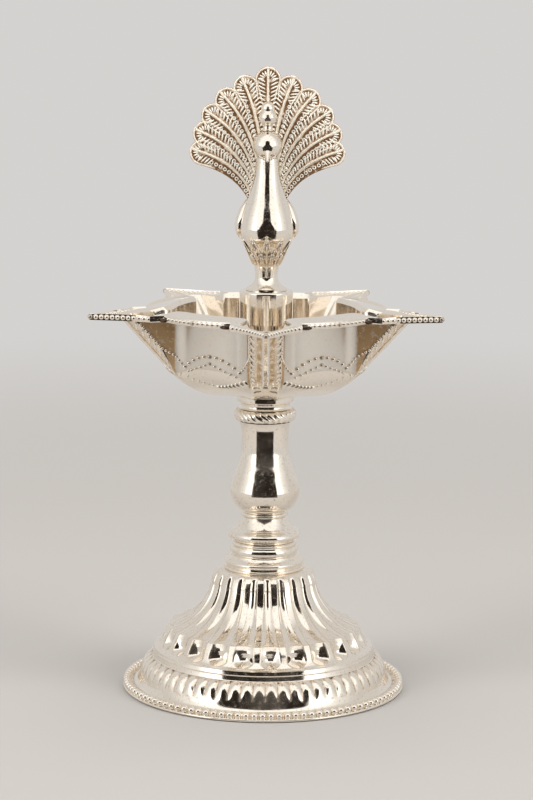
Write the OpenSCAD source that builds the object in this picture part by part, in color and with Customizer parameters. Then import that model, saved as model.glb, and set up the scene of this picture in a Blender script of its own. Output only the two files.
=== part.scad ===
// Standing oil lamp: fluted bell foot, turned stem, five-spouted bowl and a peacock finial.
// Millimetres, +Z up. The origin is on the floor, under the lamp's axis.
// The bird and one of the spouts face -Y.

/* [Foot] */
// Diameter of the foot over its rim bead
foot_d = 88; // [84:1:96]
// Radius of the round bead along the rim
rim_bead_r = 1.2; // [0.8:0.1:1.5]
// Thickness of the rim plate that the bell stands on
rim_t = 1.6; // [1.2:0.1:2.4]
// Diameter of the bell where it stands on the rim
bell_d = 77.6; // [74:0.4:79]
// Lap of the rim plate under the bell
rim_lap = 2.6; // [2:0.2:5]
// Height of the bell's top above the floor
bell_h = 37.5; // [34:0.5:44]
// Diameter of the bell's flat top
bell_top_d = 27; // [26:0.5:30]
// Diameter of the trumpet just under the bell's top
trumpet_d = 32.4; // [31:0.2:36]
// Height of the plain lower dome above the floor
dome_h = 12.8; // [10:0.1:14]
// Diameter of the dome at its upper edge
dome_top_d = 69.6; // [65:0.4:71]
// Diameter over the scalloped shoulder
shoulder_d = 63; // [60:0.5:66]
// Height of the scalloped shoulder above the floor
shoulder_h = 18.6; // [17:0.2:20]
// Number of flutes round the bell
flute_count = 24; // [20:1:26]
// Depth of a flute at the shoulder
flute_depth = 1.1; // [0.6:0.1:1.6]
// Angle from the front to the middle of the nearest flute
flute_turn = 4; // [-7.5:0.5:7.5]
// Thickness of the pressed sheet of the bell
bell_sheet = 0.9; // [0.7:0.1:1.2]

/* [Foot fixing] */
// Diameter of the collar's spigot through the bell's top
spigot_d = 13; // [12:0.5:15]
// Thickness of the washer under the bell's top
foot_washer_t = 1.2; // [0.8:0.1:2]
// Diameter of that washer
foot_washer_d = 22; // [18:0.5:23]
// Thickness of the nut under the washer
foot_nut_t = 5; // [4:0.5:6]
// Width of that nut across its flats
foot_nut_af = 18; // [17:0.5:20]
// Diameter of the collar's widest ring
collar_d = 25; // [24:0.5:28]
// Height of the turned collar
collar_h = 8.7; // [8:0.1:11]

/* [Stem] */
// Diameter of the round knop at the foot of the stem
knop_d = 22.5; // [21:0.5:26]
// Height of the knop with its cone and small ring
knop_h = 8.6; // [8:0.1:12]
// Diameter of the small ring on top of the cone
ring_d = 14.4; // [13:0.2:16]
// Height of the baluster
baluster_h = 28.6; // [25:0.2:36]
// Diameter of the baluster's belly
belly_d = 21.8; // [20:0.2:26]
// Height of the belly above the baluster's foot
belly_h = 6.8; // [5:0.2:9]
// Diameter of the baluster's waist
waist_d = 14.6; // [13:0.2:17]
// Diameter over the rope ring
rope_d = 19.8; // [18:0.2:22]
// Height of the rope ring
rope_h = 4; // [3:0.2:5]
// Number of strands round the rope ring
rope_strands = 26; // [20:1:30]
// Height of the seat collar under the bowl
seat_h = 4.2; // [3.6:0.2:6]
// Diameter of the seat collar
seat_d = 17.6; // [16:0.2:20]

/* [Threads] */
// Diameter of the rod through the stem
rod_d = 8; // [6:0.5:8]
// Travel of the stem before it leaves the foot
stem_travel = 6.25; // [4:0.25:8]
// Travel of the bowl before it leaves the stem
bowl_travel = 6.25; // [4:0.25:8]
// Diameter of the finial's stud
stud_d = 5; // [4:0.1:5.2]
// Travel of the finial before it leaves the pedestal
finial_travel = 4; // [3:0.2:5]
// Radial clearance of a thread that turns
thread_gap = 0.05; // [0.03:0.01:0.08]
// Thickness of the sealing washers
seal_t = 0.6; // [0.4:0.1:1]
// Distance of their edges inside the faces that they lie between
seal_setback = 1.3; // [0.5:0.1:2]

/* [Bowl] */
// Radius of the bowl over its spout tips
tip_r = 57; // [54:0.5:62]
// Radius of the rim midway between two spouts
edge_r = 37.2; // [35.5:0.1:38.5]
// Half width of a spout's lip over its two ears
lip_w = 10.7; // [9.6:0.1:11.4]
// Distance of the ears from the axis, along the spout
ear_reach = 40.1; // [39:0.1:42]
// Radius of the bowl's wall
well_r = 28.6; // [26:0.2:30]
// Growth of that radius from the middle of a panel to a spout, which flattens the panel
panel_rise = 1.1; // [0:0.1:1.8]
// Half width of a spout at the wall
spout_w = 4.9; // [4:0.1:6]
// Reach of a spout's keel at the rim
keel_reach = 45.8; // [43:0.1:48]
// Depth of the bowl from its seat to its rim
bowl_h = 26.2; // [23:0.2:32]
// Height of the crease between the wall and the rounded bottom
crease_h = 10.2; // [8:0.2:12]
// Fall of the rim from the wall to the edge
rim_fall = 1.2; // [0.6:0.1:2.4]
// Radius of the flat seat under the bowl
bowl_seat_r = 10; // [9:0.2:11]
// Thickness of the pressed sheet of the bowl
bowl_sheet = 0.9; // [0.7:0.1:1.1]
// Height of the rolled edge of the rim
edge_h = 2; // [1.4:0.1:2.4]
// Diameter of the pedestal
pedestal_d = 16.6; // [15.6:0.2:18]
// Height of the pedestal above the bowl's floor
pedestal_h = 30.9; // [28:0.1:38]

/* [Peacock] */
// Height of the bird from its foot to the crown of its head
bird_h = 48; // [44:0.5:56]
// Diameter of the bird's flared foot
bird_foot_d = 12.6; // [11:0.2:13.4]
// Diameter of its ankle
ankle_d = 7; // [6.6:0.1:8]
// Height of the ankle above the foot
ankle_h = 3.4; // [3:0.2:5]
// Diameter of the bird's breast
breast_d = 16.4; // [15.4:0.2:18]
// Height of the breast above the foot
breast_h = 18.6; // [17:0.2:21]
// Diameter of the neck under the head
neck_d = 6.4; // [5.6:0.1:7]
// Diameter of the head
head_d = 9; // [8:0.2:10]
// Length of the beak
beak_l = 4; // [3:0.2:5]
// Diameter of the crest's lower ball
crest_d = 5.6; // [4.8:0.1:6.4]
// Diameter of the crest's upper ball
crest_top_d = 4.2; // [3.4:0.1:4.8]
// Height of the crest's neck under the lower ball
crest_neck_h = 1.9; // [1.4:0.1:3]
// Depth that the upper ball sinks into the lower one
crest_lap = 2.2; // [1:0.1:2.6]
// Height of a wing plate
wing_h = 13; // [11:0.2:15]
// Breadth of a wing plate from front to back
wing_w = 7; // [6:0.2:7.4]
// Thickness of a wing plate
wing_t = 1.9; // [1.2:0.1:2.4]

/* [Tail] */
// Number of feathers on each side of the middle one
feather_pairs = 5; // [4:1:6]
// Angle between two feathers
feather_step = 15; // [12:0.5:16]
// Height of the fan's centre above the bird's foot
fan_h = 35.6; // [33:0.2:38]
// Distance from the fan's centre to the middle feather's round tip
fan_reach = 27.6; // [25:0.2:31]
// Distance from the fan's centre to the outermost feather's tip
fan_side_reach = 20.6; // [19:0.2:23]
// Radius of a feather's round tip
feather_r = 4; // [3.2:0.1:4.2]
// Thickness of the fan's plate
fan_t = 1.2; // [0.8:0.1:1.6]
// Height of the middle feather's blade above the plate
blade_t = 0.9; // [0.6:0.1:1.2]
// Step from a feather's blade down to the next one's
blade_step = 0.12; // [0.08:0.01:0.14]
// Width of a feather's midrib
midrib_w = 0.8; // [0.5:0.1:1.2]
// Height of the midrib above the blade
midrib_t = 0.25; // [0.1:0.05:0.4]
// Distance from the axis of the flat on the bird's back
back_reach = 6.6; // [6:0.1:7.2]
// Diameter of the two rivets of the tail
rivet_d = 1.8; // [1.4:0.1:2.2]

/* [Hidden] */
$fn = 96;

// Clearance of pieces that are stacked on the rod or soldered together
fit_gap = 0.05;
// Clearance of a hole that a rod of another body passes through
pass_gap = 0.35;
// Overshoot of a cut past the face that it starts from
cut = 1;

// Colours of the pieces
silver = [0.87, 0.84, 0.78];
brass = [0.80, 0.66, 0.36];
fibre = [0.36, 0.20, 0.14];

// Heights of the seats, from the floor up
collar_z = bell_h;
stem_seal_z = collar_z + collar_h;
knop_z = stem_seal_z + seal_t;
baluster_z = knop_z + knop_h;
rope_z = baluster_z + baluster_h;
seat_z = rope_z + rope_h;
bowl_seal_z = seat_z + seat_h;
bowl_z = bowl_seal_z + seal_t;
pedestal_z = bowl_z + bowl_sheet;
finial_seal_z = pedestal_z + pedestal_h;
bird_z = finial_seal_z + seal_t;

// Radii that several pieces share
rod_r = rod_d / 2;
thread_r = rod_r + thread_gap;
stack_r = rod_r + fit_gap;
stud_r = stud_d / 2;
spigot_r = spigot_d / 2;
bell_r = bell_d / 2;
collar_neck_r = collar_d / 2 - 2.3;
collar_top_r = collar_neck_r - 0.6;

// Rounding of the upper edge of the seat collar
seat_round = 0.3;

// Length of the spigot, from the bell's top to just past the nut
spigot_l = bell_sheet + foot_washer_t + foot_nut_t + 1;

// Curves

function lerp(a, b, t) = a + (b - a) * t;

function ease(t) = t * t * (3 - 2 * t);

// A point on a cubic curve with two end points and two handles
function bezier(p, t) =
    pow(1 - t, 3) * p[0] + 3 * pow(1 - t, 2) * t * p[1]
    + 3 * (1 - t) * t * t * p[2] + pow(t, 3) * p[3];

// A point on the smooth curve through p0, p1, p2 and p3, between p1 and p2
function through(p0, p1, p2, p3, t) =
    0.5 * (2 * p1 + (p2 - p0) * t + (2 * p0 - 5 * p1 + 4 * p2 - p3) * t * t
    + (3 * p1 - p0 - 3 * p2 + p3) * t * t * t);

// A smooth curve through stations, n steps from each to the next
function smooth(p, n = 5) = [
    for (i = [0 : len(p) - 2])
        for (j = [0 : n - 1])
            through(p[max(i - 1, 0)], p[i], p[i + 1], p[min(i + 2, len(p) - 1)], j / n),
    p[len(p) - 1]];

// Unit normal to the left of a curve at its i-th point
function left_normal(p, i) =
    let (d = p[min(i + 1, len(p) - 1)] - p[max(i - 1, 0)])
    [-d[1], d[0]] / norm(d);

// The curve shifted to its left, by its own distance at each point
function shifted(p, by) = [for (i = [0 : len(p) - 1]) p[i] + by[i] * left_normal(p, i)];

function backwards(p) = [for (i = [len(p) - 1 : -1 : 0]) p[i]];

// Solids from curves

// A turned piece: an outline from its foot up, closed along a bore
module turned(outline, bore_r) {
    foot = outline[0];
    top = outline[len(outline) - 1];
    rotate_extrude()
        polygon(concat(outline, [[bore_r, top[1]], [bore_r, foot[1]]]));
}

// A plain ring or washer
module ring(z, h, outer_r, bore_r) {
    difference() {
        translate([0, 0, z])
            cylinder(r = outer_r, h = h);
        translate([0, 0, z - cut])
            cylinder(r = bore_r, h = h + 2 * cut);
    }
}

// A closed skin through rings of points that all have the same count
module skin(rings) {
    rows = len(rings);
    count = len(rings[0]);
    polyhedron(
        points = [for (r = rings) each r],
        faces = [
            for (i = [0 : rows - 1])
                for (j = [0 : count - 1])
                    let (a = i * count + j)
                    let (b = i * count + (j + 1) % count)
                    let (c = (i + 1) % rows * count + (j + 1) % count)
                    let (d = (i + 1) % rows * count + j)
                    each [[a, d, c], [a, c, b]]],
        convexity = 10);
}

// Foot

// The rim plate with its round bead, flat underneath
module foot_rim() {
    bead_at = foot_d / 2 - rim_bead_r;
    inner_r = bell_r - rim_lap;
    color(silver)
        rotate_extrude() {
            translate([inner_r, 0])
                square([bead_at - inner_r, rim_t]);
            translate([bead_at, max(rim_t, rim_bead_r + 0.3)])
                circle(rim_bead_r);
            translate([bead_at - cut, 0])
                square([cut + rim_bead_r / 2, rim_t]);
        }
}

// Columns of the bell from the middle of one rib to the next
bell_columns = 6;

// Outline of the lower dome, then of the trumpet, from the floor up
bell_top_r = bell_top_d / 2;
trumpet_r = trumpet_d / 2;
trumpet_end_h = bell_h - 3.5;
dome_curve = [
    [bell_r, rim_t], [bell_r, lerp(rim_t, dome_h, 0.4)],
    [lerp(bell_r, dome_top_d / 2, 0.6), lerp(rim_t, dome_h, 0.74)], [dome_top_d / 2, dome_h]];
trumpet_foot = [shoulder_d / 2 - 2, shoulder_h + 0.6];
trumpet_curve = [
    trumpet_foot,
    [lerp(trumpet_foot[0], trumpet_r, 0.5), lerp(trumpet_foot[1], trumpet_end_h, 0.12)],
    [lerp(trumpet_foot[0], trumpet_r, 0.93), lerp(trumpet_foot[1], trumpet_end_h, 0.5)],
    [trumpet_r, trumpet_end_h]];

// Rows of the bell: a point of the outline, with the flute's depth there
dome_rows = [for (i = [0 : 5]) concat(bezier(dome_curve, i / 5), 0)];
shoulder_rows = [
    [shoulder_d / 2 + 0.9, dome_h + 0.5, 0],
    [shoulder_d / 2 + 0.6, lerp(dome_h, shoulder_h, 0.3), -0.7 * flute_depth],
    [shoulder_d / 2 + 0.3, lerp(dome_h, shoulder_h, 0.65), -1.2 * flute_depth],
    [shoulder_d / 2 - 0.5, lerp(dome_h, shoulder_h, 0.9), -0.8 * flute_depth]];
trumpet_rows = [
    for (i = [0 : 7])
        concat(bezier(trumpet_curve, i / 7), flute_depth * lerp(1, 0.45, i / 7))];
bell_top_rows = [
    [lerp(trumpet_r, bell_top_r, 0.3), bell_h - 1.6, 0.25 * flute_depth],
    [bell_top_r, bell_h, 0],
    [spigot_r + fit_gap * 4, bell_h, 0]];
bell_outside = concat(dome_rows, shoulder_rows, trumpet_rows, bell_top_rows);

// The inside follows the same outline without flutes, a sheet's thickness below the flutes
bell_lining = shifted(
    concat(
        [for (t = [0, 0.4, 0.7]) bezier(dome_curve, t)],
        [for (t = [0.1, 0.5, 1]) bezier(trumpet_curve, t)]),
    [for (i = [0 : 5]) i < 3 ? bell_sheet : bell_sheet + flute_depth]);
bell_inside = concat(
    [[bell_r - bell_sheet, rim_t]],
    [for (i = [1 : 5]) bell_lining[i]],
    [[bell_top_r - bell_sheet, bell_h - bell_sheet], [spigot_r + fit_gap * 4, bell_h - bell_sheet]]);

// How far the sheet lies below the ribs, from 0 on a rib to 1 in the middle of a flute
function flute_shape(phase) = 1 - pow(abs(cos(180 * phase)), 4);

// A ring of the bell at one row
function bell_ring(row) = [
    for (f = [0 : flute_count - 1])
        for (c = [0 : bell_columns - 1])
            let (phase = c / bell_columns)
            let (a = 360 * (f + phase - 0.5) / flute_count + flute_turn - 90)
            let (fall = row[2] >= 0 ? row[2] * flute_shape(phase) : -row[2] * (1 - flute_shape(phase)))
            let (r = row[0] - fall)
            [r * cos(a), r * sin(a), row[1]]];

// The pressed bell: dome, scalloped shoulder and fluted trumpet with a flat top
module foot_bell() {
    color(silver)
        skin(concat(
            [for (row = bell_outside) bell_ring(row)],
            [for (row = backwards(bell_inside)) bell_ring(concat(row, 0))]));
}

// The turned collar, with the spigot that holds it to the bell
module foot_collar() {
    wide_r = collar_d / 2;
    outline = [
        [spigot_r, collar_z - spigot_l], [spigot_r, collar_z],
        [wide_r, collar_z], [wide_r, collar_z + 1.1],
        [wide_r - 0.5, collar_z + 1.4], [wide_r - 0.1, collar_z + 2.4],
        [wide_r - 0.5, collar_z + 3],
        [collar_neck_r + 0.6, collar_z + 4.4], [collar_neck_r, collar_z + 4.7]];
    band = [for (t = [0 : 0.125 : 1])
        [collar_neck_r + 0.6 * sin(180 * t), lerp(collar_z + 4.9, stem_seal_z - 1.3, t)]];
    bead = [for (t = [0 : 0.2 : 1])
        [lerp(collar_top_r, collar_neck_r, sin(180 * t)), lerp(stem_seal_z - 1.1, stem_seal_z, t)]];
    color(silver)
        turned(concat(outline, band, bead), thread_r);
}

// The washer between the bell's top and the nut
module foot_washer() {
    color(brass)
        ring(collar_z - bell_sheet - foot_washer_t, foot_washer_t, foot_washer_d / 2, spigot_r + fit_gap);
}

// The hexagon nut on the spigot
module foot_nut() {
    z = collar_z - bell_sheet - foot_washer_t - foot_nut_t;
    color(brass)
        difference() {
            translate([0, 0, z])
                cylinder(d = foot_nut_af / cos(30), h = foot_nut_t, $fn = 6);
            translate([0, 0, z - cut])
                cylinder(r = spigot_r + fit_gap, h = foot_nut_t + 2 * cut);
        }
}

// Stem

// The sealing washer between the collar and the stem
module stem_seal() {
    color(fibre)
        ring(stem_seal_z, seal_t, collar_top_r - seal_setback, rod_r + pass_gap);
}

// The round knop with its hollow cone and small ring
module stem_knop() {
    knop_r = knop_d / 2;
    bead_r = 1.3;
    cone_top_z = baluster_z - 1.5;
    cone = [
        [knop_r - bead_r, knop_z + 0.5 + 2 * bead_r], [knop_r - 2.6, knop_z + 3.3],
        [ring_d / 2 + 0.4, lerp(knop_z + 3.3, cone_top_z, 0.5)], [ring_d / 2 - 0.3, cone_top_z]];
    color(silver)
        difference() {
            rotate_extrude() {
                polygon(concat(
                    [[0, knop_z], [knop_r - 1.4, knop_z]],
                    [for (t = [0 : 0.125 : 1]) bezier(cone, t)],
                    [[0, cone_top_z]]));
                translate([knop_r - bead_r, knop_z + 0.3 + bead_r])
                    circle(bead_r);
                translate([0, cone_top_z])
                    square([ring_d / 2 - 0.75, 1.5]);
                translate([ring_d / 2 - 0.75, cone_top_z + 0.75])
                    circle(0.75);
            }
            translate([0, 0, knop_z - cut])
                cylinder(r = stack_r, h = knop_h + 2 * cut);
        }
}

// The vase-shaped baluster
module stem_baluster() {
    foot_r = ring_d / 2 - 0.3;
    belly_r = belly_d / 2;
    waist_r = waist_d / 2;
    waist_h = lerp(belly_h, baluster_h, 0.66);
    stations = [
        [foot_r, 0],
        [lerp(foot_r, belly_r, 0.62), 0.33 * belly_h],
        [belly_r, belly_h],
        [lerp(belly_r, waist_r, 0.5), lerp(belly_h, waist_h, 0.42)],
        [lerp(belly_r, waist_r, 0.88), lerp(belly_h, waist_h, 0.7)],
        [waist_r, waist_h],
        [waist_r + 0.2, lerp(waist_h, baluster_h, 0.6)],
        [waist_r + 0.6, baluster_h]];
    color(silver)
        translate([0, 0, baluster_z])
            turned(smooth(stations), stack_r);
}

// The ring of slanted strands above the baluster
module rope_ring() {
    tube_r = rope_h / 2;
    strand_r = 3.14 * (rope_d / 2 - tube_r) / rope_strands;
    middle_r = rope_d / 2 - strand_r;
    color(silver)
        difference() {
            union() {
                translate([0, 0, rope_z])
                    cylinder(r = middle_r, h = rope_h);
                for (i = [0 : rope_strands - 1])
                    rotate([0, 0, 360 * i / rope_strands])
                        translate([middle_r - 0.2, 0, rope_z + tube_r])
                            rotate([-32, 0, 0])
                                cylinder(r = strand_r, h = rope_h * 0.7, center = true, $fn = 24);
            }
            translate([0, 0, rope_z - cut])
                cylinder(r = stack_r, h = rope_h + 2 * cut);
        }
}

// The hollow neck and the plain collar that carries the bowl
module bowl_seat() {
    seat_r = seat_d / 2;
    collar_foot = bowl_seal_z - 2.1;
    outline = concat(
        [for (t = [0 : 0.2 : 1])
            [seat_r - 0.5 - 0.6 * sin(90 * t), lerp(seat_z, collar_foot - 0.3, t)]],
        [[seat_r - 0.6, collar_foot], [seat_r - 0.1, collar_foot + 0.2],
         [seat_r, collar_foot + 0.6], [seat_r, bowl_seal_z - seat_round],
         [seat_r - seat_round, bowl_seal_z]]);
    color(silver)
        turned(outline, stack_r);
}

// The rod that ties the stem together, with a thread at each end
module stem_rod() {
    low = knop_z - seal_t - stem_travel;
    high = pedestal_z + bowl_travel;
    color(brass)
        translate([0, 0, low])
            cylinder(r = rod_r, h = high - low);
}

// Bowl

spouts = 5;
sector = 360 / spouts;

// Columns of half a sector: along a lip from its tip to its ear, then along the rim
lip_columns = 5;
rim_columns = 6;
half_columns = lip_columns + rim_columns;

// Angles from a spout's axis to the slot behind its ear and to its root in the wall
slot_angle = asin(lip_w / edge_r);
root_angle = asin(spout_w / well_r);

// A point at an angle from the spout's axis, as [across the spout, along it]
function polar(r, a) = [r * sin(a), r * cos(a)];

// Share of the way along the lip, from 0 at the tip to 1 at the ear, closer together at the tip
function lip_share(k) = pow(min(k, lip_columns) / lip_columns, 1.5);

// Angle of a column of the wall, from a spout's root to the middle of the panel
function panel_angle(k) = lerp(root_angle, sector / 2, (k - lip_columns) / rim_columns);

// Outline of half a lip, from its tip to its ear
lip_curve = [
    [0, tip_r], [0.28 * lip_w, lerp(tip_r, ear_reach, 0.4)],
    [0.65 * lip_w, lerp(tip_r, ear_reach, 0.87)], [lip_w, ear_reach]];

// The bowl's edge: a lip that flares to its ear, then a slot and the round rim
function edge_point(k) =
    k <= lip_columns
    ? bezier(lip_curve, lip_share(k))
    : polar(edge_r, lerp(slot_angle, sector / 2, (k - lip_columns - 1) / (rim_columns - 1)));

// Thickness of the sheet at the top of a keel, where the press gathers it
keel_sheet = 1.5 * bowl_sheet;

// How hollow the flanks of a spout are at its foot; they grow flat towards the rim
flank_hollow = 2.2;

// The wall at one level, from the spout's keel to its root, then round the well
function wall_point(k, keel, wall) =
    let (rise = panel_rise / well_r)
    let (root = polar(wall[0] * (1 + rise), root_angle))
    k <= lip_columns
    ? let (t = lip_share(k))
      let (nose = 1 - pow(1 - t, lerp(flank_hollow, 1, keel[1] / bowl_h)))
      [root[0] * t, lerp(keel[0], root[1], nose), lerp(keel[1], wall[1] - wall[2], ease(t))]
    : let (a = panel_angle(k))
      let (off = pow((a - sector / 2) / (sector / 2 - root_angle), 2))
      concat(polar(wall[0] * (1 + rise * off), a), wall[1] - wall[2] * off);

// Outlines of the keel and of the wall, from the seat up; the third value arches a level
keel_curve = [
    [bowl_seat_r, 0], [lerp(bowl_seat_r, keel_reach, 0.39), 0.3],
    [lerp(bowl_seat_r, keel_reach, 0.535), 0.24 * bowl_h], [keel_reach, bowl_h - rim_fall]];
dish_curve = [
    [bowl_seat_r, 0], [lerp(bowl_seat_r, well_r, 0.5), 0.2],
    [lerp(bowl_seat_r, well_r, 0.84), 0.4 * crease_h], [well_r - 0.2, crease_h]];
dish_levels = 5;
wall_levels = 3;
levels = dish_levels + wall_levels;
keel_line = [for (i = [0 : levels]) bezier(keel_curve, i / levels)];
wall_line = [
    for (i = [0 : levels])
        i <= dish_levels
        ? bezier(dish_curve, i / dish_levels)
        : [well_r, lerp(crease_h, bowl_h, (i - dish_levels) / wall_levels)]];

// Rise of the crease's arch between two spouts
crease_arch = 2.6;
function arch(i) =
    crease_arch * (i <= dish_levels ? i / dish_levels : (levels - i) / wall_levels);

// A ring of the bowl from its half-sector points, mirrored and turned round the axis
function bowl_ring(points) = [
    for (s = [0 : spouts - 1])
        for (k = [1 - half_columns : half_columns])
            let (p = points[abs(k)])
            let (x = k < 0 ? -p[0] : p[0])
            let (a = s * sector)
            let (y = -p[1])
            [x * cos(a) - y * sin(a), x * sin(a) + y * cos(a), bowl_z + p[2]]];

// A level ring round the seat
function seat_ring(r, z) = bowl_ring([
    for (k = [0 : half_columns])
        let (a = k <= lip_columns ? root_angle * lip_share(k) : panel_angle(k))
        concat(polar(r, a), z)]);

// The rings of one face of the wall, from the seat up
function wall_rings(keel, wall) = [
    for (i = [0 : levels])
        bowl_ring([
            for (k = [0 : half_columns])
                wall_point(k, keel[i], concat(wall[i], arch(i)))])];

// A ring of the flange, a share of the way from the wall to the edge
function flange_ring(t, lift) = bowl_ring([
    for (k = [0 : half_columns])
        let (w = wall_point(k, keel_line[levels], concat(wall_line[levels], 0)))
        let (e = edge_point(k))
        [lerp(w[0], e[0], t), lerp(w[1], e[1], t), lerp(w[2], bowl_h - rim_fall, t) + lift]]);

// The pressed bowl: dished bottom, five spouts, sloping rim and rolled edge
module bowl() {
    hole_r = rod_r + pass_gap;
    inner_keel = shifted(keel_line, [for (i = [0 : levels]) lerp(bowl_sheet, keel_sheet, i / levels)]);
    inner_wall = shifted(wall_line, [for (i = [0 : levels]) bowl_sheet]);
    roll = edge_h - bowl_sheet;
    color(silver)
        skin(concat(
            [seat_ring(hole_r, 0)],
            wall_rings(keel_line, wall_line),
            [flange_ring(0.5, 0), flange_ring(0.93, 0)],
            [flange_ring(0.95, -roll / 2), flange_ring(1, -roll / 2)],
            [flange_ring(1, bowl_sheet + roll / 2), flange_ring(0.95, bowl_sheet + roll / 2)],
            [flange_ring(0.93, bowl_sheet), flange_ring(0.5, bowl_sheet), flange_ring(0.06, bowl_sheet)],
            backwards(wall_rings(inner_keel, inner_wall)),
            [seat_ring(hole_r, bowl_sheet)]));
}

// The sealing washer under the bowl
module bowl_seal() {
    color(fibre)
        ring(bowl_seal_z, seal_t, seat_d / 2 - seat_round - seal_setback, rod_r + pass_gap);
}

// The pedestal that clamps the bowl to the stem and carries the bird
module pedestal() {
    r = pedestal_d / 2;
    top_z = pedestal_z + pedestal_h;
    outline = [
        [r + 0.5, pedestal_z], [r + 0.5, pedestal_z + 1], [r + 0.1, pedestal_z + 1.6],
        [r, top_z - 1], [r - 0.35, top_z - 0.3], [r - 1, top_z], [0, top_z]];
    color(silver)
        difference() {
            rotate_extrude()
                polygon(concat([[0, pedestal_z]], outline));
            translate([0, 0, pedestal_z - cut])
                cylinder(r = thread_r, h = bowl_travel + 1 + cut);
            translate([0, 0, top_z - finial_travel - seal_t - 1])
                cylinder(r = stud_r + thread_gap, h = finial_travel + seal_t + 1 + cut);
        }
}

// Peacock

// Outline of the bird from its foot to the crown, as [radius, height above the foot]
head_r = head_d / 2;
head_h = bird_h - head_r + 0.3;
breast_r = breast_d / 2;
ankle_r = ankle_d / 2;
neck_r = neck_d / 2;
throat_h = head_h - head_r;
bird_curve = smooth([
    [ankle_r, ankle_h],
    [lerp(ankle_r, breast_r, 0.09), lerp(ankle_h, breast_h, 0.25)],
    [lerp(ankle_r, breast_r, 0.36), lerp(ankle_h, breast_h, 0.5)],
    [lerp(ankle_r, breast_r, 0.68), lerp(ankle_h, breast_h, 0.66)],
    [lerp(ankle_r, breast_r, 0.92), lerp(ankle_h, breast_h, 0.81)],
    [breast_r, breast_h],
    [lerp(breast_r, neck_r, 0.16), lerp(breast_h, throat_h, 0.2)],
    [lerp(breast_r, neck_r, 0.64), lerp(breast_h, throat_h, 0.52)],
    [lerp(breast_r, neck_r, 0.9), lerp(breast_h, throat_h, 0.78)],
    [neck_r, throat_h + 0.6]]);
flare_curve = [
    [bird_foot_d / 2, 0.3], [lerp(bird_foot_d / 2, ankle_r, 0.46), 0.18 * ankle_h],
    [lerp(bird_foot_d / 2, ankle_r, 0.97), 0.6 * ankle_h], [ankle_r, ankle_h]];
bird_foot = concat([[bird_foot_d / 2, 0]], [for (t = [0 : 0.125 : 0.875]) bezier(flare_curve, t)]);

// Depth of the stud's hole in the bird's foot
stud_hole_h = 5;

// The cast body: flared foot, breast, neck, head and beak, with a flat back for the tail
module peacock_body() {
    crown = bird_h;
    color(silver)
        translate([0, 0, bird_z])
            difference() {
                union() {
                    rotate_extrude()
                        polygon(concat([[0, 0]], bird_foot, bird_curve, [[0, throat_h + 0.6]]));
                    translate([0, 0, head_h])
                        sphere(head_r);
                    translate([0, 0, head_h])
                        rotate([123, 0, 0])
                            translate([0, 0, head_r - 0.8])
                                cylinder(r1 = 1.5, r2 = 0.3, h = beak_l, $fn = 32);
                }
                translate([-breast_r, back_reach, 0])
                    cube([breast_d, breast_d, throat_h]);
                translate([0, 0, -cut])
                    cylinder(r = stud_r + fit_gap, h = stud_hole_h + cut);
                translate([-head_r, -head_r, crown])
                    cube(head_d);
                rivet_holes(back_reach - rivet_depth, rivet_depth + cut);
            }
}

// The stud that screws the bird to the pedestal
module finial_stud() {
    color(brass)
        translate([0, 0, bird_z - seal_t - finial_travel])
            cylinder(r = stud_r, h = finial_travel + seal_t + stud_hole_h);
}

// The sealing washer under the bird
module finial_seal() {
    color(fibre)
        ring(finial_seal_z, seal_t, bird_foot_d / 2 - seal_setback, stud_r + pass_gap);
}

// The crest of two balls on a small collar
module peacock_crest() {
    low_r = crest_d / 2;
    high_r = crest_top_d / 2;
    ball_z = bird_z + bird_h + crest_neck_h + low_r;
    color(silver) {
        rotate_extrude()
            polygon([
                [0, bird_z + bird_h], [1.7, bird_z + bird_h], [1.7, bird_z + bird_h + 0.7],
                [1.15, bird_z + bird_h + 1.2], [1.15, ball_z], [0, ball_z]]);
        translate([0, 0, ball_z])
            sphere(low_r);
        translate([0, 0, ball_z + low_r + high_r - crest_lap])
            sphere(high_r);
    }
}

// A wing: a leaf-shaped plate that hugs the side of the breast
module wing(side) {
    slope = 12;
    round_r = (wing_h * wing_h / 4 + wing_w * wing_w / 4) / wing_w;
    wing_mid = breast_h + 2.8;
    wing_back = back_reach - 1 - wing_w / 2;
    color(silver)
        translate([0, 0, bird_z])
            intersection() {
                rotate_extrude()
                    polygon(concat(
                        [for (p = bird_curve) [p[0] + wing_t, p[1]]],
                        backwards([for (p = bird_curve) [p[0] + fit_gap, p[1]]])));
                translate([0, wing_back, wing_mid])
                    rotate([-slope, 0, 0])
                        intersection_for (s = [-1, 1])
                            translate([0, s * (round_r - wing_w / 2), 0])
                                rotate([0, 90 * side, 0])
                                    cylinder(r = round_r, h = breast_d);
            }
}

module peacock_wing_left() {
    wing(-1);
}

module peacock_wing_right() {
    wing(1);
}

// Tail

fan_front = back_reach;
rivet_depth = 2.4;
rivet_heights = [breast_h - 2.2, breast_h + 2.4];
tongue_w = 4.2;
tongue_foot = breast_h - 4.6;
feather_root_h = breast_h + 8.4;

// Distance of a feather's tip from the fan's centre
function feather_reach(i) = lerp(fan_reach, fan_side_reach, pow(abs(i) / feather_pairs, 0.9));

// Middle line of a feather: it leaves the tongue steeply and bends out to its tip
function feather_line(i, t) =
    let (a = i * feather_step)
    let (tip = [feather_reach(i) * sin(a), fan_h + feather_reach(i) * cos(a)])
    let (root = [i * 0.75, feather_root_h - abs(i) * 0.5])
    let (bend = [i * 1.3, lerp(root[1], tip[1], 0.62 + 0.022 * abs(i))])
    (1 - t) * (1 - t) * root + 2 * t * (1 - t) * bend + t * t * tip;

// Half width of a feather along its middle line
function feather_width(t, r) = lerp(0.9, r, pow(t, 0.8));

// Share of a feather's length where its raised blade starts, clear of the bird's back
blade_start = 0.42;
blade_gap = 0.4;
blade_root = 0.3;

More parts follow.
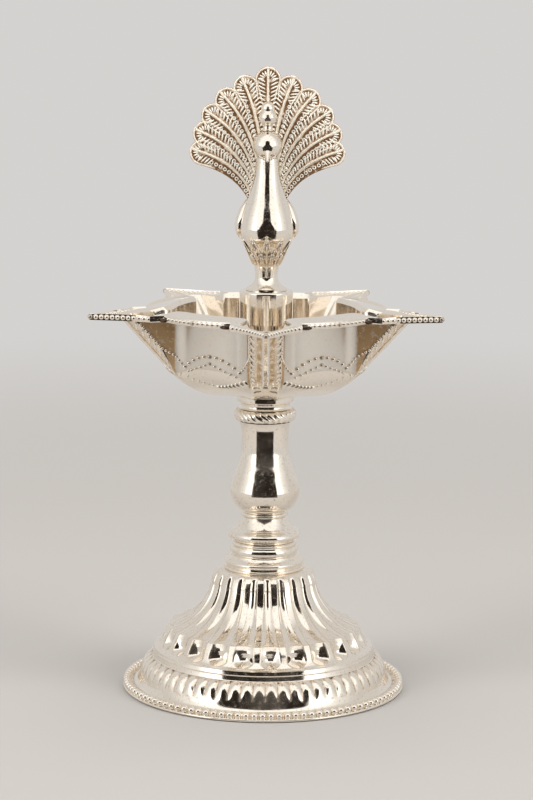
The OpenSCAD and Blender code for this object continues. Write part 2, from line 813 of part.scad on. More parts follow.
// Outline of a feather with a round tip
module feather(i) {
    steps = 8;
    line = [for (j = [0 : steps]) feather_line(i, j / steps)];
    sides = [for (j = [0 : steps]) feather_width(j / steps, feather_r)];
    left = shifted(line, sides);
    right = shifted(line, [for (w = sides) -w]);
    polygon(concat(left, backwards(right)));
    translate(line[steps])
        circle(feather_r);
}

// Half the room that a feather's blade has between its neighbours
function blade_room(i, t) =
    let (here = feather_line(i, t))
    let (after = norm(feather_line(i + 1, t) - here))
    let (before = norm(feather_line(i - 1, t) - here))
    min(feather_width(t, feather_r) - blade_gap, (min(after, before) - blade_gap) / 2);

// Outline of a feather's raised blade, clear of the blades beside it
module blade(i) {
    steps = 8;
    tip = feather_line(i, 1);
    tip_r = blade_room(i, 1);
    along = tip - feather_line(i, 0.96);
    turn = atan2(along[1], along[0]);
    shares = [for (j = [0 : steps]) lerp(blade_start, 1, j / steps)];
    line = [for (t = shares) feather_line(i, t)];
    sides = [for (t = shares) blade_room(i, t)];
    left = shifted(line, sides);
    right = shifted(line, [for (w = sides) -w]);
    cap = [for (a = [75 : -15 : -75]) tip + tip_r * [cos(turn + a), sin(turn + a)]];
    polygon(concat(left, cap, backwards(right)));
}

// A narrow strip along a feather's middle line
module midrib(i) {
    steps = 8;
    line = [for (j = [0 : steps]) feather_line(i, lerp(blade_start + 0.06, 1, j / steps))];
    left = shifted(line, [for (p = line) midrib_w / 2]);
    right = shifted(line, [for (p = line) -midrib_w / 2]);
    polygon(concat(left, backwards(right)));
}

module rivet_holes(from, depth) {
    for (h = rivet_heights)
        translate([0, from, h])
            rotate([-90, 0, 0])
                cylinder(d = rivet_d + 2 * fit_gap, h = depth, $fn = 32);
}

// The cast fan: a plate of round-tipped feathers, each with a raised blade and midrib
module tail_fan() {
    feathers = [-feather_pairs : feather_pairs];
    color(silver)
        translate([0, 0, bird_z])
            difference() {
                union() {
                    translate([0, fan_front + fan_t, 0])
                        rotate([90, 0, 0])
                            linear_extrude(fan_t) {
                                for (i = feathers)
                                    feather(i);
                                translate([-tongue_w, tongue_foot])
                                    square([2 * tongue_w, feather_root_h + 3 - tongue_foot]);
                            }
                    for (i = feathers) {
                        h = blade_t - abs(i) * blade_step;
                        translate([0, fan_front + blade_root, 0])
                            rotate([90, 0, 0])
                                linear_extrude(blade_root + h)
                                    blade(i);
                        translate([0, fan_front + blade_root, 0])
                            rotate([90, 0, 0])
                                linear_extrude(blade_root + h + midrib_t)
                                    midrib(i);
                    }
                }
                rivet_holes(fan_front - cut, fan_t + 2 * cut);
            }
}

// The two rivets that hold the tail to the bird's back
module tail_rivets() {
    head_r = rivet_d * 0.9;
    color(brass)
        translate([0, 0, bird_z])
            for (h = rivet_heights)
                translate([0, 0, h])
                    rotate([-90, 0, 0])
                        rotate_extrude($fn = 32)
                            polygon(concat(
                                [[0, fan_front - rivet_depth], [rivet_d / 2, fan_front - rivet_depth],
                                 [rivet_d / 2, fan_front + fan_t]],
                                [for (a = [0 : 15 : 90])
                                    [head_r * cos(a), fan_front + fan_t + 0.6 * head_r * sin(a)]]));
}

foot_rim();
foot_bell();
foot_collar();
foot_washer();
foot_nut();
stem_seal();
stem_knop();
stem_baluster();
rope_ring();
bowl_seat();
stem_rod();
bowl_seal();
bowl();
pedestal();
finial_seal();
finial_stud();
peacock_body();
peacock_crest();
peacock_wing_left();
peacock_wing_right();
tail_fan();
tail_rivets();
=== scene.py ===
"""Dresses the standing oil lamp: silver plate, bead borders, flutes, feathers and a plain studio.

Sizes are in millimetres and are turned into metres when a mesh is made.
"""
import logging
import math
from dataclasses import dataclass
from enum import Enum
from typing import ClassVar

import bmesh
import bpy
import numpy as np
from mathutils import Matrix, Vector


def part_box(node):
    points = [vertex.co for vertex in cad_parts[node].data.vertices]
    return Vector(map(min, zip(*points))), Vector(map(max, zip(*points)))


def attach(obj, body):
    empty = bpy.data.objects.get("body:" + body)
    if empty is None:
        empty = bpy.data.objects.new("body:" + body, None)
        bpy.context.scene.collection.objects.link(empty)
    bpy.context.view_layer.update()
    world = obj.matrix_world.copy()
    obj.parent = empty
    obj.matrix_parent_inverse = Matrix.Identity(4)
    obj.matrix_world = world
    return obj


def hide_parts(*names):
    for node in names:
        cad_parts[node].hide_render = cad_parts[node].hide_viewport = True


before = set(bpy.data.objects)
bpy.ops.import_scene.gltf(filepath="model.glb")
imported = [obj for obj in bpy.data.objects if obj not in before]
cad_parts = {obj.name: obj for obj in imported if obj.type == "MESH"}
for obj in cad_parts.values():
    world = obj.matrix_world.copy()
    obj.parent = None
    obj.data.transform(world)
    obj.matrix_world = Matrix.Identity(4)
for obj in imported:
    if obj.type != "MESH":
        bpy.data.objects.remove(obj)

MM = 0.001
LOG = logging.getLogger("oil_lamp")
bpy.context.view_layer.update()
Line = np.ndarray
Pair = tuple[float, float]
Triple = tuple[float, float, float]
Stations = tuple[Pair, ...]
Tone = tuple[float, ...]
Node = bpy.types.Node
Socket = bpy.types.NodeSocket
Mesh = bpy.types.Mesh
Material = bpy.types.Material


class Body(Enum):
    """The bodies of the frame that pieces ride on."""

    FOOT = "foot"
    STEM = "stem"
    BOWL = "bowl"
    FINIAL = "finial"


class Slot(Enum):
    """The record's material slots."""

    FOOT = "foot_silver"
    STEM = "stem_silver"
    BOWL = "bowl_silver"
    BIRD = "bird_silver"
    TAIL = "tail_silver"
    BRASS = "bare_brass"
    FIBRE = "seal_fibre"


# Curves and outlines


def lerp(a: float, b: float, t: float | Line) -> float | Line:
    """Returns the value a share t of the way from a to b."""
    return a + (b - a) * t


def ease(t: float | Line) -> float | Line:
    """Returns t with a soft start and a soft end."""
    t = np.clip(t, 0, 1)
    return t * t * (3 - 2 * t)


def bezier(handles: list[Pair], t: Line) -> Line:
    """Samples a cubic curve.

    Args:
        handles: its two end points with the two handles between them.
        t: shares of the way along it.

    Returns:
        One point a row.
    """
    t = np.asarray(t, float)[:, None]
    p = np.asarray(handles, float)
    return (1 - t) ** 3 * p[0] + 3 * (1 - t) ** 2 * t * p[1] + 3 * (1 - t) * t * t * p[2] + t ** 3 * p[3]


def smooth_line(stations: list[tuple[float, ...]], steps: int) -> Line:
    """Runs a smooth curve through stations.

    Args:
        stations: points that the curve passes through.
        steps: samples from each station to the next.

    Returns:
        One point a row, the last station included.
    """
    p = np.asarray(stations, float)
    rows = []
    for i in range(len(p) - 1):
        a, b, c, d = p[max(i - 1, 0)], p[i], p[i + 1], p[min(i + 2, len(p) - 1)]
        for t in np.arange(steps) / steps:
            rows.append(0.5 * (2 * b + (c - a) * t + (2 * a - 5 * b + 4 * c - d) * t * t
                               + (3 * b - a - 3 * c + d) * t ** 3))
    return np.array(rows + [p[-1]])


def arc(centre: Pair, radius: float, start: float, end: float, steps: int) -> Line:
    """Returns the points of an arc; its angles are in degrees."""
    a = np.radians(np.linspace(start, end, steps + 1))
    return np.stack([centre[0] + radius * np.cos(a), centre[1] + radius * np.sin(a)], axis=1)


def outline(*parts: Line | list[Pair]) -> Line:
    """Joins stretches of an outline into one."""
    return np.concatenate([np.asarray(p, float).reshape(-1, 2) for p in parts])


def between(a: Pair, b: Pair, across: float, up: float) -> Pair:
    """Returns a point by its shares of the way from a to b, across and up."""
    return lerp(a[0], b[0], across), lerp(a[1], b[1], up)


def unit(directions: Line) -> Line:
    """Returns directions at a length of one."""
    return directions / np.linalg.norm(directions, axis=-1, keepdims=True)


def tangents(line: Line) -> Line:
    """Returns the unit directions along a curve."""
    return unit(np.gradient(line, axis=0))


def left_normals(line: Line) -> Line:
    """Returns the unit normals to the left of a flat curve."""
    d = np.gradient(line, axis=0)
    d /= np.linalg.norm(d, axis=1, keepdims=True) + 1e-12
    return np.stack([-d[:, 1], d[:, 0]], axis=1)


# Meshes


def tidy(mesh: Mesh, crease: float = 38.0) -> Mesh:
    """Merges doubled points, turns faces outwards and shades the mesh smooth up to a crease angle."""
    made = bmesh.new()
    made.from_mesh(mesh)
    bmesh.ops.remove_doubles(made, verts=made.verts, dist=1e-7)
    bmesh.ops.dissolve_degenerate(made, edges=made.edges, dist=1e-8)
    bmesh.ops.recalc_face_normals(made, faces=made.faces)
    made.to_mesh(mesh)
    made.free()
    mesh.polygons.foreach_set("use_smooth", np.ones(len(mesh.polygons), bool))
    mesh.set_sharp_from_angle(angle=math.radians(crease))
    return mesh


def keep(mesh: Mesh, key: str, values: Line, kind: str = "FLOAT") -> None:
    """Keeps a value or a direction at each point of a mesh, under a name."""
    field = "vector" if kind == "FLOAT_VECTOR" else "value"
    flat = np.asarray(values, np.float32).ravel()
    mesh.attributes.new(key, kind, "POINT").data.foreach_set(field, flat)


def grid_mesh(name: str, points: Line, close_rows: bool, close_columns: bool,
              marks: dict[str, Line] | None = None) -> Mesh:
    """Makes a mesh from a grid of points.

    Args:
        name: the mesh's name.
        points: rows by columns by three, in millimetres.
        close_rows: whether the last row joins the first.
        close_columns: whether the last column joins the first.
        marks: values to keep at the points, by attribute name.

    Returns:
        The mesh, in metres.
    """
    rows, columns = points.shape[:2]
    i, j = np.meshgrid(np.arange(rows if close_rows else rows - 1),
                       np.arange(columns if close_columns else columns - 1), indexing="ij")
    k, m = (i + 1) % rows, (j + 1) % columns
    corners = [i * columns + j, i * columns + m, k * columns + m, k * columns + j]
    quads = np.stack(corners, axis=-1).reshape(-1, 4)
    mesh = bpy.data.meshes.new(name)
    mesh.from_pydata((points.reshape(-1, 3) * MM).tolist(), [], quads.tolist())
    for key, values in (marks or {}).items():
        keep(mesh, key, values)
    return mesh


def turned_grid(profile: Line, columns: int) -> Line:
    """Turns an outline of radii and heights round the axis into a grid of points."""
    a = np.arange(columns) * 2 * np.pi / columns - np.pi / 2
    r, z = profile[:, :1], profile[:, 1:]
    return np.stack([r * np.cos(a), r * np.sin(a), np.broadcast_to(z, (len(profile), columns))], axis=-1)


def path_mesh(name: str, paths: list[Line], closed: bool) -> Mesh:
    """Makes a mesh of bare edges that bead strings and rows of rings follow.

    Args:
        name: the mesh's name.
        paths: lines of points, in millimetres.
        closed: whether each line joins its own start.

    Returns:
        The mesh, in metres.
    """
    points, edges = [], []
    for path in paths:
        first, count = len(points), len(path)
        points += (np.asarray(path) * MM).tolist()
        edges += [(first + i, first + i + 1) for i in range(count - 1)]
        if closed:
            edges.append((first + count - 1, first))
    mesh = bpy.data.meshes.new(name)
    mesh.from_pydata(points, edges, [])
    return mesh


def joined(name: str, meshes: list[Mesh]) -> Mesh:
    """Joins meshes that carry the same marks into one, each tidied by itself."""
    made = bmesh.new()
    for mesh in meshes:
        made.from_mesh(tidy(mesh, 45.0))
    whole = bpy.data.meshes.new(name)
    made.to_mesh(whole)
    made.free()
    return whole


@dataclass(frozen=True)
class Stroke:
    """A leaf-shaped stroke: its middle, its direction, the way out of the surface and its half length."""

    at: Line
    along: Line
    out: Line
    reach: float


def stroke_mesh(name: str, strokes: list[Stroke]) -> Mesh:
    """Makes the points that carry strokes, with what each stroke needs as attributes."""
    mesh = bpy.data.meshes.new(name)
    mesh.from_pydata([tuple(np.asarray(s.at) * MM) for s in strokes], [], [])
    keep(mesh, "along", [s.along for s in strokes], "FLOAT_VECTOR")
    keep(mesh, "out", [s.out for s in strokes], "FLOAT_VECTOR")
    keep(mesh, "reach", [s.reach * MM for s in strokes])
    return mesh


def round_about(r: float | Line, angle: Line, z: float | Line) -> Line:
    """Returns points at angles in degrees from the front, to the right."""
    a = np.radians(angle)
    r, z = np.broadcast_to(r, a.shape), np.broadcast_to(z, a.shape)
    return np.stack([r * np.sin(a), -r * np.cos(a), z], axis=-1)


def in_scene(name: str, data: bpy.types.ID) -> bpy.types.Object:
    """Adds an object to the scene and returns it."""
    made = bpy.data.objects.new(name, data)
    bpy.context.scene.collection.objects.link(made)
    return made


# Node trees


class NodeTree:
    """A node tree with short ways of adding to it."""

    def __init__(self, tree: bpy.types.NodeTree) -> None:
        """Takes the tree."""
        self.tree = tree

    def feed(self, socket: Socket, value: object) -> None:
        """Links another socket to an input, or sets the input to a plain value."""
        if isinstance(value, Socket):
            self.tree.links.new(value, socket)
        else:
            socket.default_value = value

    def add(self, kind: str, links: dict[str | int, object] | None = None, **settings: object) -> Node:
        """Adds a node.

        Args:
            kind: the node's type.
            links: sockets or plain values for its inputs, by name or number.
            settings: the node's own properties.

        Returns:
            The node.
        """
        node = self.tree.nodes.new(kind)
        for key, value in settings.items():
            setattr(node, key, value)
        for key, value in (links or {}).items():
            self.feed(node.inputs[key], value)
        return node

    def number(self, operation: str, *values: object, clamp: bool = False) -> Socket:
        """Returns the output of a maths node on sockets or numbers."""
        links = dict(enumerate(values))
        return self.add("ShaderNodeMath", links, operation=operation, use_clamp=clamp).outputs[0]

    def ramp(self, value: Socket, start: float, end: float, soft: bool = False) -> Socket:
        """Returns how far a value is from one end of a range to the other, from 0 to 1."""
        links = {"Value": value, "From Min": start, "From Max": end}
        shape = "SMOOTHSTEP" if soft else "LINEAR"
        return self.add("ShaderNodeMapRange", links, interpolation_type=shape).outputs[0]


class GeometryTree(NodeTree):
    """A geometry tree that is built once and run on any mesh."""

    name = "tree"

    def __init__(self) -> None:
        """Makes the empty tree and has the subclass fill it."""
        super().__init__(bpy.data.node_groups.new(self.name, "GeometryNodeTree"))
        for way in ("INPUT", "OUTPUT"):
            self.tree.interface.new_socket("Geometry", in_out=way, socket_type="NodeSocketGeometry")
        self.inputs: dict[str, str] = {}
        self.start = self.tree.nodes.new("NodeGroupInput")
        self.end = self.tree.nodes.new("NodeGroupOutput")
        self.build()

    def build(self) -> None:
        """Adds the nodes."""
        raise NotImplementedError

    @property
    def shape(self) -> Socket:
        """What the tree starts from."""
        return self.start.outputs["Geometry"]

    def take(self, name: str, kind: str = "Float") -> Socket:
        """Adds a named input and returns its socket inside the tree."""
        made = self.tree.interface.new_socket(name, in_out="INPUT", socket_type=f"NodeSocket{kind}")
        self.inputs[name] = made.identifier
        return self.start.outputs[name]

    def mark(self, name: str, kind: str = "FLOAT") -> Socket:
        """Returns what the points keep under a name."""
        kept = self.add("GeometryNodeInputNamedAttribute", {"Name": name}, data_type=kind)
        return kept.outputs["Attribute"]

    def along(self, pitch: Socket) -> Socket:
        """Returns points at an even pitch along the paths that the tree starts from."""
        curve = self.add("GeometryNodeMeshToCurve", {"Mesh": self.shape}).outputs[0]
        points = self.add("GeometryNodeCurveToPoints", {"Curve": curve, "Length": pitch}, mode="LENGTH")
        return points.outputs["Points"]

    def smooth(self, node: Node) -> Socket:
        """Returns a node's shape with smooth shading."""
        return self.add("GeometryNodeSetShadeSmooth", {"Geometry": node.outputs[0]}).outputs[0]

    def close(self, geometry: Socket) -> None:
        """Realizes the copies, sets their material and ends the tree."""
        real = self.add("GeometryNodeRealizeInstances", {"Geometry": geometry}).outputs[0]
        material = self.take("Material", "Material")
        dressed = self.add("GeometryNodeSetMaterial", {"Geometry": real, "Material": material})
        self.tree.links.new(dressed.outputs[0], self.end.inputs[0])

    def close_copies(self, points: Socket, shape: Socket, **links: object) -> None:
        """Ends the tree with a copy of a shape on every point.

        Args:
            points: where the copies go.
            shape: what is copied.
            links: how each copy is turned and scaled.
        """
        copies = self.add("GeometryNodeInstanceOnPoints", {"Points": points, "Instance": shape, **links})
        self.close(copies.outputs[0])

    def run(self, mesh: Mesh, **values: object) -> Mesh:
        """Runs the tree on a mesh.

        Args:
            mesh: what the tree starts from.
            values: its inputs by name, with underscores for spaces.

        Returns:
            A plain mesh.
        """
        holder = in_scene(self.name, mesh)
        modifier = holder.modifiers.new(self.name, "NODES")
        modifier.node_group = self.tree
        for key, value in values.items():
            modifier[self.inputs[key.replace("_", " ")]] = value
        graph = bpy.context.evaluated_depsgraph_get()
        done = holder.evaluated_get(graph)
        made = bpy.data.meshes.new_from_object(done, preserve_all_data_layers=True, depsgraph=graph)
        holder.modifiers.remove(modifier)
        bpy.data.objects.remove(holder)
        return made


class BeadString(GeometryTree):
    """Round beads at an even pitch along paths."""

    name = "bead_string"

    def build(self) -> None:
        """Adds the nodes."""
        pitch, bead_r = self.take("Pitch"), self.take("Bead radius")
        ball = self.add("GeometryNodeMeshIcoSphere", {"Radius": bead_r, "Subdivisions": 3})
        self.close_copies(self.along(pitch), self.smooth(ball))


class StrokeRow(GeometryTree):
    """Leaf-shaped strokes on points, turned by the points' own directions and as long as their own reach."""

    name = "stroke_row"

    def build(self) -> None:
        """Adds the nodes."""
        thickness, height = self.take("Thickness"), self.take("Height")
        ball = self.add("GeometryNodeMeshUVSphere", {"Segments": 10, "Rings": 6, "Radius": 1.0})
        along, out = (self.mark(key, "FLOAT_VECTOR") for key in ("along", "out"))
        aim = self.add("FunctionNodeAlignRotationToVector", {"Vector": along}, axis="X").outputs[0]
        roll = self.add("FunctionNodeAlignRotationToVector", {"Rotation": aim, "Vector": out},
                        axis="Z", pivot_axis="X")
        size = self.add("ShaderNodeCombineXYZ", {"X": self.mark("reach"), "Y": thickness, "Z": height})
        points = self.add("GeometryNodeMeshToPoints", {"Mesh": self.shape}).outputs[0]
        self.close_copies(points, self.smooth(ball), Rotation=roll.outputs[0], Scale=size.outputs[0])


class TurnedCopies(GeometryTree):
    """Copies of one strand at even steps round the axis."""

    name = "turned_copies"

    def build(self) -> None:
        """Adds the nodes."""
        count = self.take("Copies", "Int")
        points = self.add("GeometryNodeMeshLine", {"Count": count, "Offset": (0.0, 0.0, 0.0)}).outputs[0]
        index = self.add("GeometryNodeInputIndex").outputs[0]
        angle = self.number("DIVIDE", self.number("MULTIPLY", index, math.tau), count)
        turn = self.add("ShaderNodeCombineXYZ", {"Z": angle})
        self.close_copies(points, self.shape, Rotation=turn.outputs[0])


class FluteRing(GeometryTree):
    """Flutes and petals pressed into a turned bell, by marks that its points keep.

    The marks sink and petal are a depth and a height in metres. The marks rib_w and petal_w are half widths,
    as shares of half a flute or of a whole petal. The mark stain is how brown a floor is.
    """

    name = "flute_ring"
    rib_share = 0.62
    corner_w = 0.05
    least_sink = 0.0003
    least_petal = 0.0001
    gap_power = 4.0

    def build(self) -> None:
        """Adds the nodes."""
        flutes, petals = self.take("Flutes", "Int"), self.take("Petals", "Int")
        flute_turn, petal_turn = self.take("Flute turn"), self.take("Petal turn")
        place = self.add("GeometryNodeInputPosition").outputs[0]
        x, y, z = self.add("ShaderNodeSeparateXYZ", {"Vector": place}).outputs
        angle = self.number("ARCTAN2", x, self.number("MULTIPLY", y, -1.0))
        off_middle = self.number("ABSOLUTE", self.phase(angle, flutes, flute_turn))
        off_middle = self.number("MULTIPLY", off_middle, 2.0)
        room = self.number("MULTIPLY_ADD", self.mark("rib_w"), -self.rib_share, 1.0)
        hollow = self.bow(self.number("DIVIDE", off_middle, room))
        petal = self.bow(self.number("DIVIDE", self.phase(angle, petals, petal_turn), self.mark("petal_w")))
        fall = self.number("MULTIPLY", self.mark("sink"), hollow)
        rise = self.number("SUBTRACT", self.number("MULTIPLY", self.mark("petal"), petal), fall)
        squares = [self.number("MULTIPLY", axis, axis) for axis in (x, y)]
        radius = self.number("SQRT", self.number("ADD", *squares))
        share = self.number("DIVIDE", self.number("ADD", radius, rise), radius)
        across = [self.number("MULTIPLY", axis, share) for axis in (x, y)]
        moved = self.add("ShaderNodeCombineXYZ", {"X": across[0], "Y": across[1], "Z": z}).outputs[0]
        shaped = self.add("GeometryNodeSetPosition", {"Geometry": self.shape, "Position": moved}).outputs[0]
        off_corner = self.number("ABSOLUTE", self.number("SUBTRACT", off_middle, room))
        corner = self.number("DIVIDE", off_corner, self.corner_w)
        stain = self.number("MULTIPLY", self.mark("stain"), hollow)
        brown = self.number("MAXIMUM", stain, self.number("SUBTRACT", 1.0, corner))
        in_flute = self.number("GREATER_THAN", self.mark("sink"), self.least_sink)
        in_petals = self.number("GREATER_THAN", self.mark("petal"), self.least_petal)
        gap = self.number("POWER", self.number("SUBTRACT", 1.0, petal), self.gap_power)
        recess = self.number("MULTIPLY_ADD", in_flute, brown, self.number("MULTIPLY", in_petals, gap))
        links = {"Geometry": shaped, "Name": "recess", "Value": recess}
        kept = self.add("GeometryNodeStoreNamedAttribute", links, data_type="FLOAT")
        self.close(kept.outputs[0])

    def phase(self, angle: Socket, count: Socket,
              turn: Socket) -> Socket:
        """Returns the place in one step of a pattern, from -0.5 to 0.5 about its middle.

        Args:
            angle: the angle round the axis from the front.
            count: steps of the pattern in a whole turn.
            turn: the angle of one step's middle.

        Returns:
            The place.
        """
        share = self.number("DIVIDE", self.number("SUBTRACT", angle, turn), math.tau)
        steps = self.number("ADD", self.number("MULTIPLY", share, count), 0.5)
        return self.number("SUBTRACT", self.number("FRACT", steps), 0.5)

    def bow(self, across: Socket) -> Socket:
        """Returns the height of a shallow bow, from 1 in its middle to 0 at its sides."""
        square = self.number("MULTIPLY", across, across)
        return self.number("MAXIMUM", 0.0, self.number("SUBTRACT", 1.0, square))


class RingRow(GeometryTree):
    """Tiny rings at an even pitch along paths, lying in the plane of the fan."""

    name = "ring_row"

    def build(self) -> None:
        """Adds the nodes."""
        pitch, ring_r, wire_r = (self.take(key) for key in ("Pitch", "Ring radius", "Wire radius"))
        loop, section = (self.add("GeometryNodeCurvePrimitiveCircle", {"Resolution": sides, "Radius": r})
                         for sides, r in ((10, ring_r), (5, wire_r)))
        links = {"Curve": loop.outputs["Curve"], "Profile Curve": section.outputs["Curve"]}
        tube = self.add("GeometryNodeCurveToMesh", links).outputs[0]
        upright = self.add("GeometryNodeTransform", {"Geometry": tube, "Rotation": (math.pi / 2, 0.0, 0.0)})
        self.close_copies(self.along(pitch), self.smooth(upright))


# Finishes


class EffectGroup(NodeTree):
    """A shader node group that several finishes share, with a place on the surface as its first input."""

    def __init__(self, name: str, takes: dict[str, float], gives: tuple[str, ...]) -> None:
        """Makes the group with its named inputs and outputs.

        Args:
            name: the group's name.
            takes: default value by input name.
            gives: the names of its outputs.
        """
        super().__init__(bpy.data.node_groups.new(name, "ShaderNodeTree"))
        sockets = self.tree.interface
        sockets.new_socket("Vector", in_out="INPUT", socket_type="NodeSocketVector")
        for key, value in takes.items():
            sockets.new_socket(key, in_out="INPUT", socket_type="NodeSocketFloat").default_value = value
        for key in gives:
            sockets.new_socket(key, in_out="OUTPUT", socket_type="NodeSocketFloat")
        self.start = self.tree.nodes.new("NodeGroupInput")
        self.end = self.tree.nodes.new("NodeGroupOutput")

    def take(self, name: str) -> Socket:
        """Returns one of the group's inputs."""
        return self.start.outputs[name]

    def give(self, name: str, value: Socket) -> None:
        """Links one of the group's outputs."""
        self.tree.links.new(value, self.end.inputs[name])

    def noise(self, scale: object, detail: float, roughness: float = 0.5) -> Socket:
        """Returns noise over the surface."""
        links = {"Vector": self.take("Vector"), "Scale": scale, "Detail": detail, "Roughness": roughness}
        return self.add("ShaderNodeTexNoise", links).outputs["Fac"]


class Effects:
    """The shared surface effects, each built once."""

    def __init__(self) -> None:
        """Builds the groups."""
        self.tarnish = self.build_tarnish()
        self.specks = self.build_specks()
        self.polish = self.build_polish()

    @staticmethod
    def build_tarnish() -> bpy.types.NodeTree:
        """Returns the brown tarnish that gathers in recesses, broken up by noise."""
        group = EffectGroup("tarnish", {"Recess": 0.0, "Scale": 600.0, "Haze": 0.1, "Flecks": 0.4}, ("Mask",))
        broken = group.ramp(group.noise(group.take("Scale"), 5.0, 0.65), 0.3, 0.62)
        gathered = group.number("MULTIPLY", group.take("Recess"), broken)
        veil = group.ramp(group.noise(90.0, 4.0), 0.48, 0.75)
        haze = group.number("MULTIPLY", veil, group.take("Haze"))
        dots = group.ramp(group.noise(1100.0, 4.0, 0.7), 0.56, 0.74)
        fleck = group.number("MULTIPLY_ADD", dots, group.take("Flecks"), haze)
        group.give("Mask", group.number("ADD", gathered, fleck, clamp=True))
        return group.tree

    @staticmethod
    def build_specks() -> bpy.types.NodeTree:
        """Returns tiny pits where the plate has spotted."""
        group = EffectGroup("specks", {"Scale": 900.0, "Share": 0.1}, ("Mask",))
        links = {key: group.take(key) for key in ("Vector", "Scale")}
        cells = group.add("ShaderNodeTexVoronoi", links)
        size = group.number("MULTIPLY", group.noise(160.0, 2.0), group.take("Share"))
        group.give("Mask", group.number("LESS_THAN", cells.outputs["Distance"], size))
        return group.tree

    @staticmethod
    def build_polish() -> bpy.types.NodeTree:
        """Returns the marks of hand polishing, as a roughness and a height."""
        group = EffectGroup("polish", {"Smooth": 0.08, "Dull": 0.2, "Scale": 350.0}, ("Roughness", "Height"))
        rub = group.noise(group.take("Scale"), 6.0, 0.6)
        ends = {"To Min": group.take("Smooth"), "To Max": group.take("Dull")}
        rough = group.add("ShaderNodeMapRange", {"Value": rub, "From Min": 0.35, "From Max": 0.7, **ends})
        group.give("Roughness", rough.outputs[0])
        group.give("Height", group.noise(260.0, 3.0))
        return group.tree


class Paint(NodeTree):
    """A new material's node tree, with the shader that its looks feed."""

    def __init__(self, name: str) -> None:
        """Makes the material."""
        self.made = bpy.data.materials.new(name)
        self.made.use_nodes = True
        super().__init__(self.made.node_tree)
        self.shader = self.tree.nodes["Principled BSDF"]

    def where(self) -> Socket:
        """Returns the place on the surface."""
        return self.add("ShaderNodeTexCoord").outputs["Object"]

    def mark(self, name: str) -> Socket:
        """Returns the value that the points keep under a name."""
        return self.add("ShaderNodeAttribute", attribute_name=name).outputs["Fac"]

    def placed(self, group: bpy.types.NodeTree, **links: object) -> bpy.types.NodeOutputs:
        """Places a shared effect, with its inputs by name, and returns its outputs."""
        return self.add("ShaderNodeGroup", links, node_tree=group).outputs

    def tinted(self, mask: Socket, first: Tone | Socket,
               second: Tone) -> Socket:
        """Returns the colour between two colours, by a mask.

        Args:
            mask: how much of the second colour shows.
            first: the first colour.
            second: the second colour.

        Returns:
            The colour.
        """
        ends = [(*tone, 1.0) if isinstance(tone, tuple) else tone for tone in (first, second)]
        return self.add("ShaderNodeMix", {0: mask, 6: ends[0], 7: ends[1]}, data_type="RGBA").outputs[2]

    def bump(self, height: Socket, strength: float, distance: float) -> Socket:
        """Returns the normals of a surface that a height disturbs."""
        links = {"Strength": strength, "Distance": distance, "Height": height}
        return self.add("ShaderNodeBump", links).outputs[0]

    def dress(self, **values: object) -> Material:
        """Feeds the shader's inputs, with underscores for spaces, and returns the material."""
        for key, value in values.items():
            self.feed(self.shader.inputs[key.replace("_", " ")], value)
        return self.made

    def show(self, surface: Node) -> Material:
        """Puts another shader on the surface and returns the material."""
        self.tree.links.new(surface.outputs[0], self.tree.nodes["Material Output"].inputs["Surface"])
        return self.made

    def glow(self, tone: object, strength: object) -> Node:
        """Adds a shader of even light."""
        return self.add("ShaderNodeEmission", {"Color": tone, "Strength": strength})


@dataclass(frozen=True)
class SilverPlate:
    """Polished silver plate that has yellowed a little and browned in its recesses, near black in the deepest
    ones: partly patina, partly painted shade.

    Where the points keep a mark named satin, the plate is brushed dull instead of polished.
    """

    name: str
    plate: Tone = (0.97, 0.905, 0.815)
    tarnish: Tone = (0.40, 0.25, 0.11)
    # Tone of the deepest recesses: partly patina, partly painted shade.
    deepest: Tone = (0.075, 0.045, 0.028)
    deep_from: float = 0.62
    metallic: float = 1.0
    metal_lost: float = 0.5
    smooth: float = 0.05
    dull: float = 0.12
    tarnish_rough: float = 0.3
    gather: float = 0.9
    haze: float = 0.16
    spots: float = 0.13
    ripple: float = 0.04
    ripple_h: float = 0.0004
    satin: float = 0.26
    satin_tone: float = 0.76
    flecks: float = 0.5

    def material(self, effects: Effects) -> Material:
        """Builds the finish from the shared effects."""
        paint = Paint(self.name)
        where, brushed = paint.where(), paint.mark("satin")
        gathered = paint.number("MULTIPLY", paint.mark("recess"), self.gather)
        brown = paint.placed(effects.tarnish, Vector=where, Recess=gathered, Haze=self.haze,
                             Flecks=self.flecks)
        spots = paint.placed(effects.specks, Vector=where, Share=self.spots)
        rub = paint.placed(effects.polish, Vector=where, Smooth=self.smooth, Dull=self.dull)
        mask = paint.number("MAXIMUM", brown["Mask"], spots["Mask"])
        dulled = paint.number("MULTIPLY_ADD", brushed, self.satin, rub["Roughness"])
        plate = paint.tinted(brushed, self.plate, tuple(self.satin_tone * tone for tone in self.plate))
        browned = paint.tinted(mask, plate, self.tarnish)
        return paint.dress(
            # The deepest recesses turn near black: partly patina, partly painted shade.
            Base_Color=paint.tinted(paint.ramp(mask, self.deep_from, 1.0), browned, self.deepest),
            Roughness=paint.number("MULTIPLY_ADD", mask, self.tarnish_rough, dulled),
            Metallic=paint.number("MULTIPLY_ADD", mask, -self.metal_lost * self.metallic, self.metallic),
            Normal=paint.bump(rub["Height"], self.ripple, self.ripple_h))


@dataclass(frozen=True)
class BareMetal:
    """Unplated brass of the fixings that sit inside the lamp or behind it."""

    name: str
    bright: Tone = (0.80, 0.62, 0.30)
    aged: Tone = (0.38, 0.25, 0.10)

    def material(self, effects: Effects) -> Material:
        """Builds the finish from the shared effects."""
        paint = Paint(self.name)
        where = paint.where()
        brown = paint.placed(effects.tarnish, Vector=where, Recess=0.35, Haze=0.6, Scale=400.0)
        rub = paint.placed(effects.polish, Vector=where, Smooth=0.2, Dull=0.38)
        tone = paint.tinted(brown["Mask"], self.bright, self.aged)
        return paint.dress(Base_Color=tone, Metallic=1.0, Roughness=rub["Roughness"],
                           Normal=paint.bump(rub["Height"], 0.1, 0.0003))


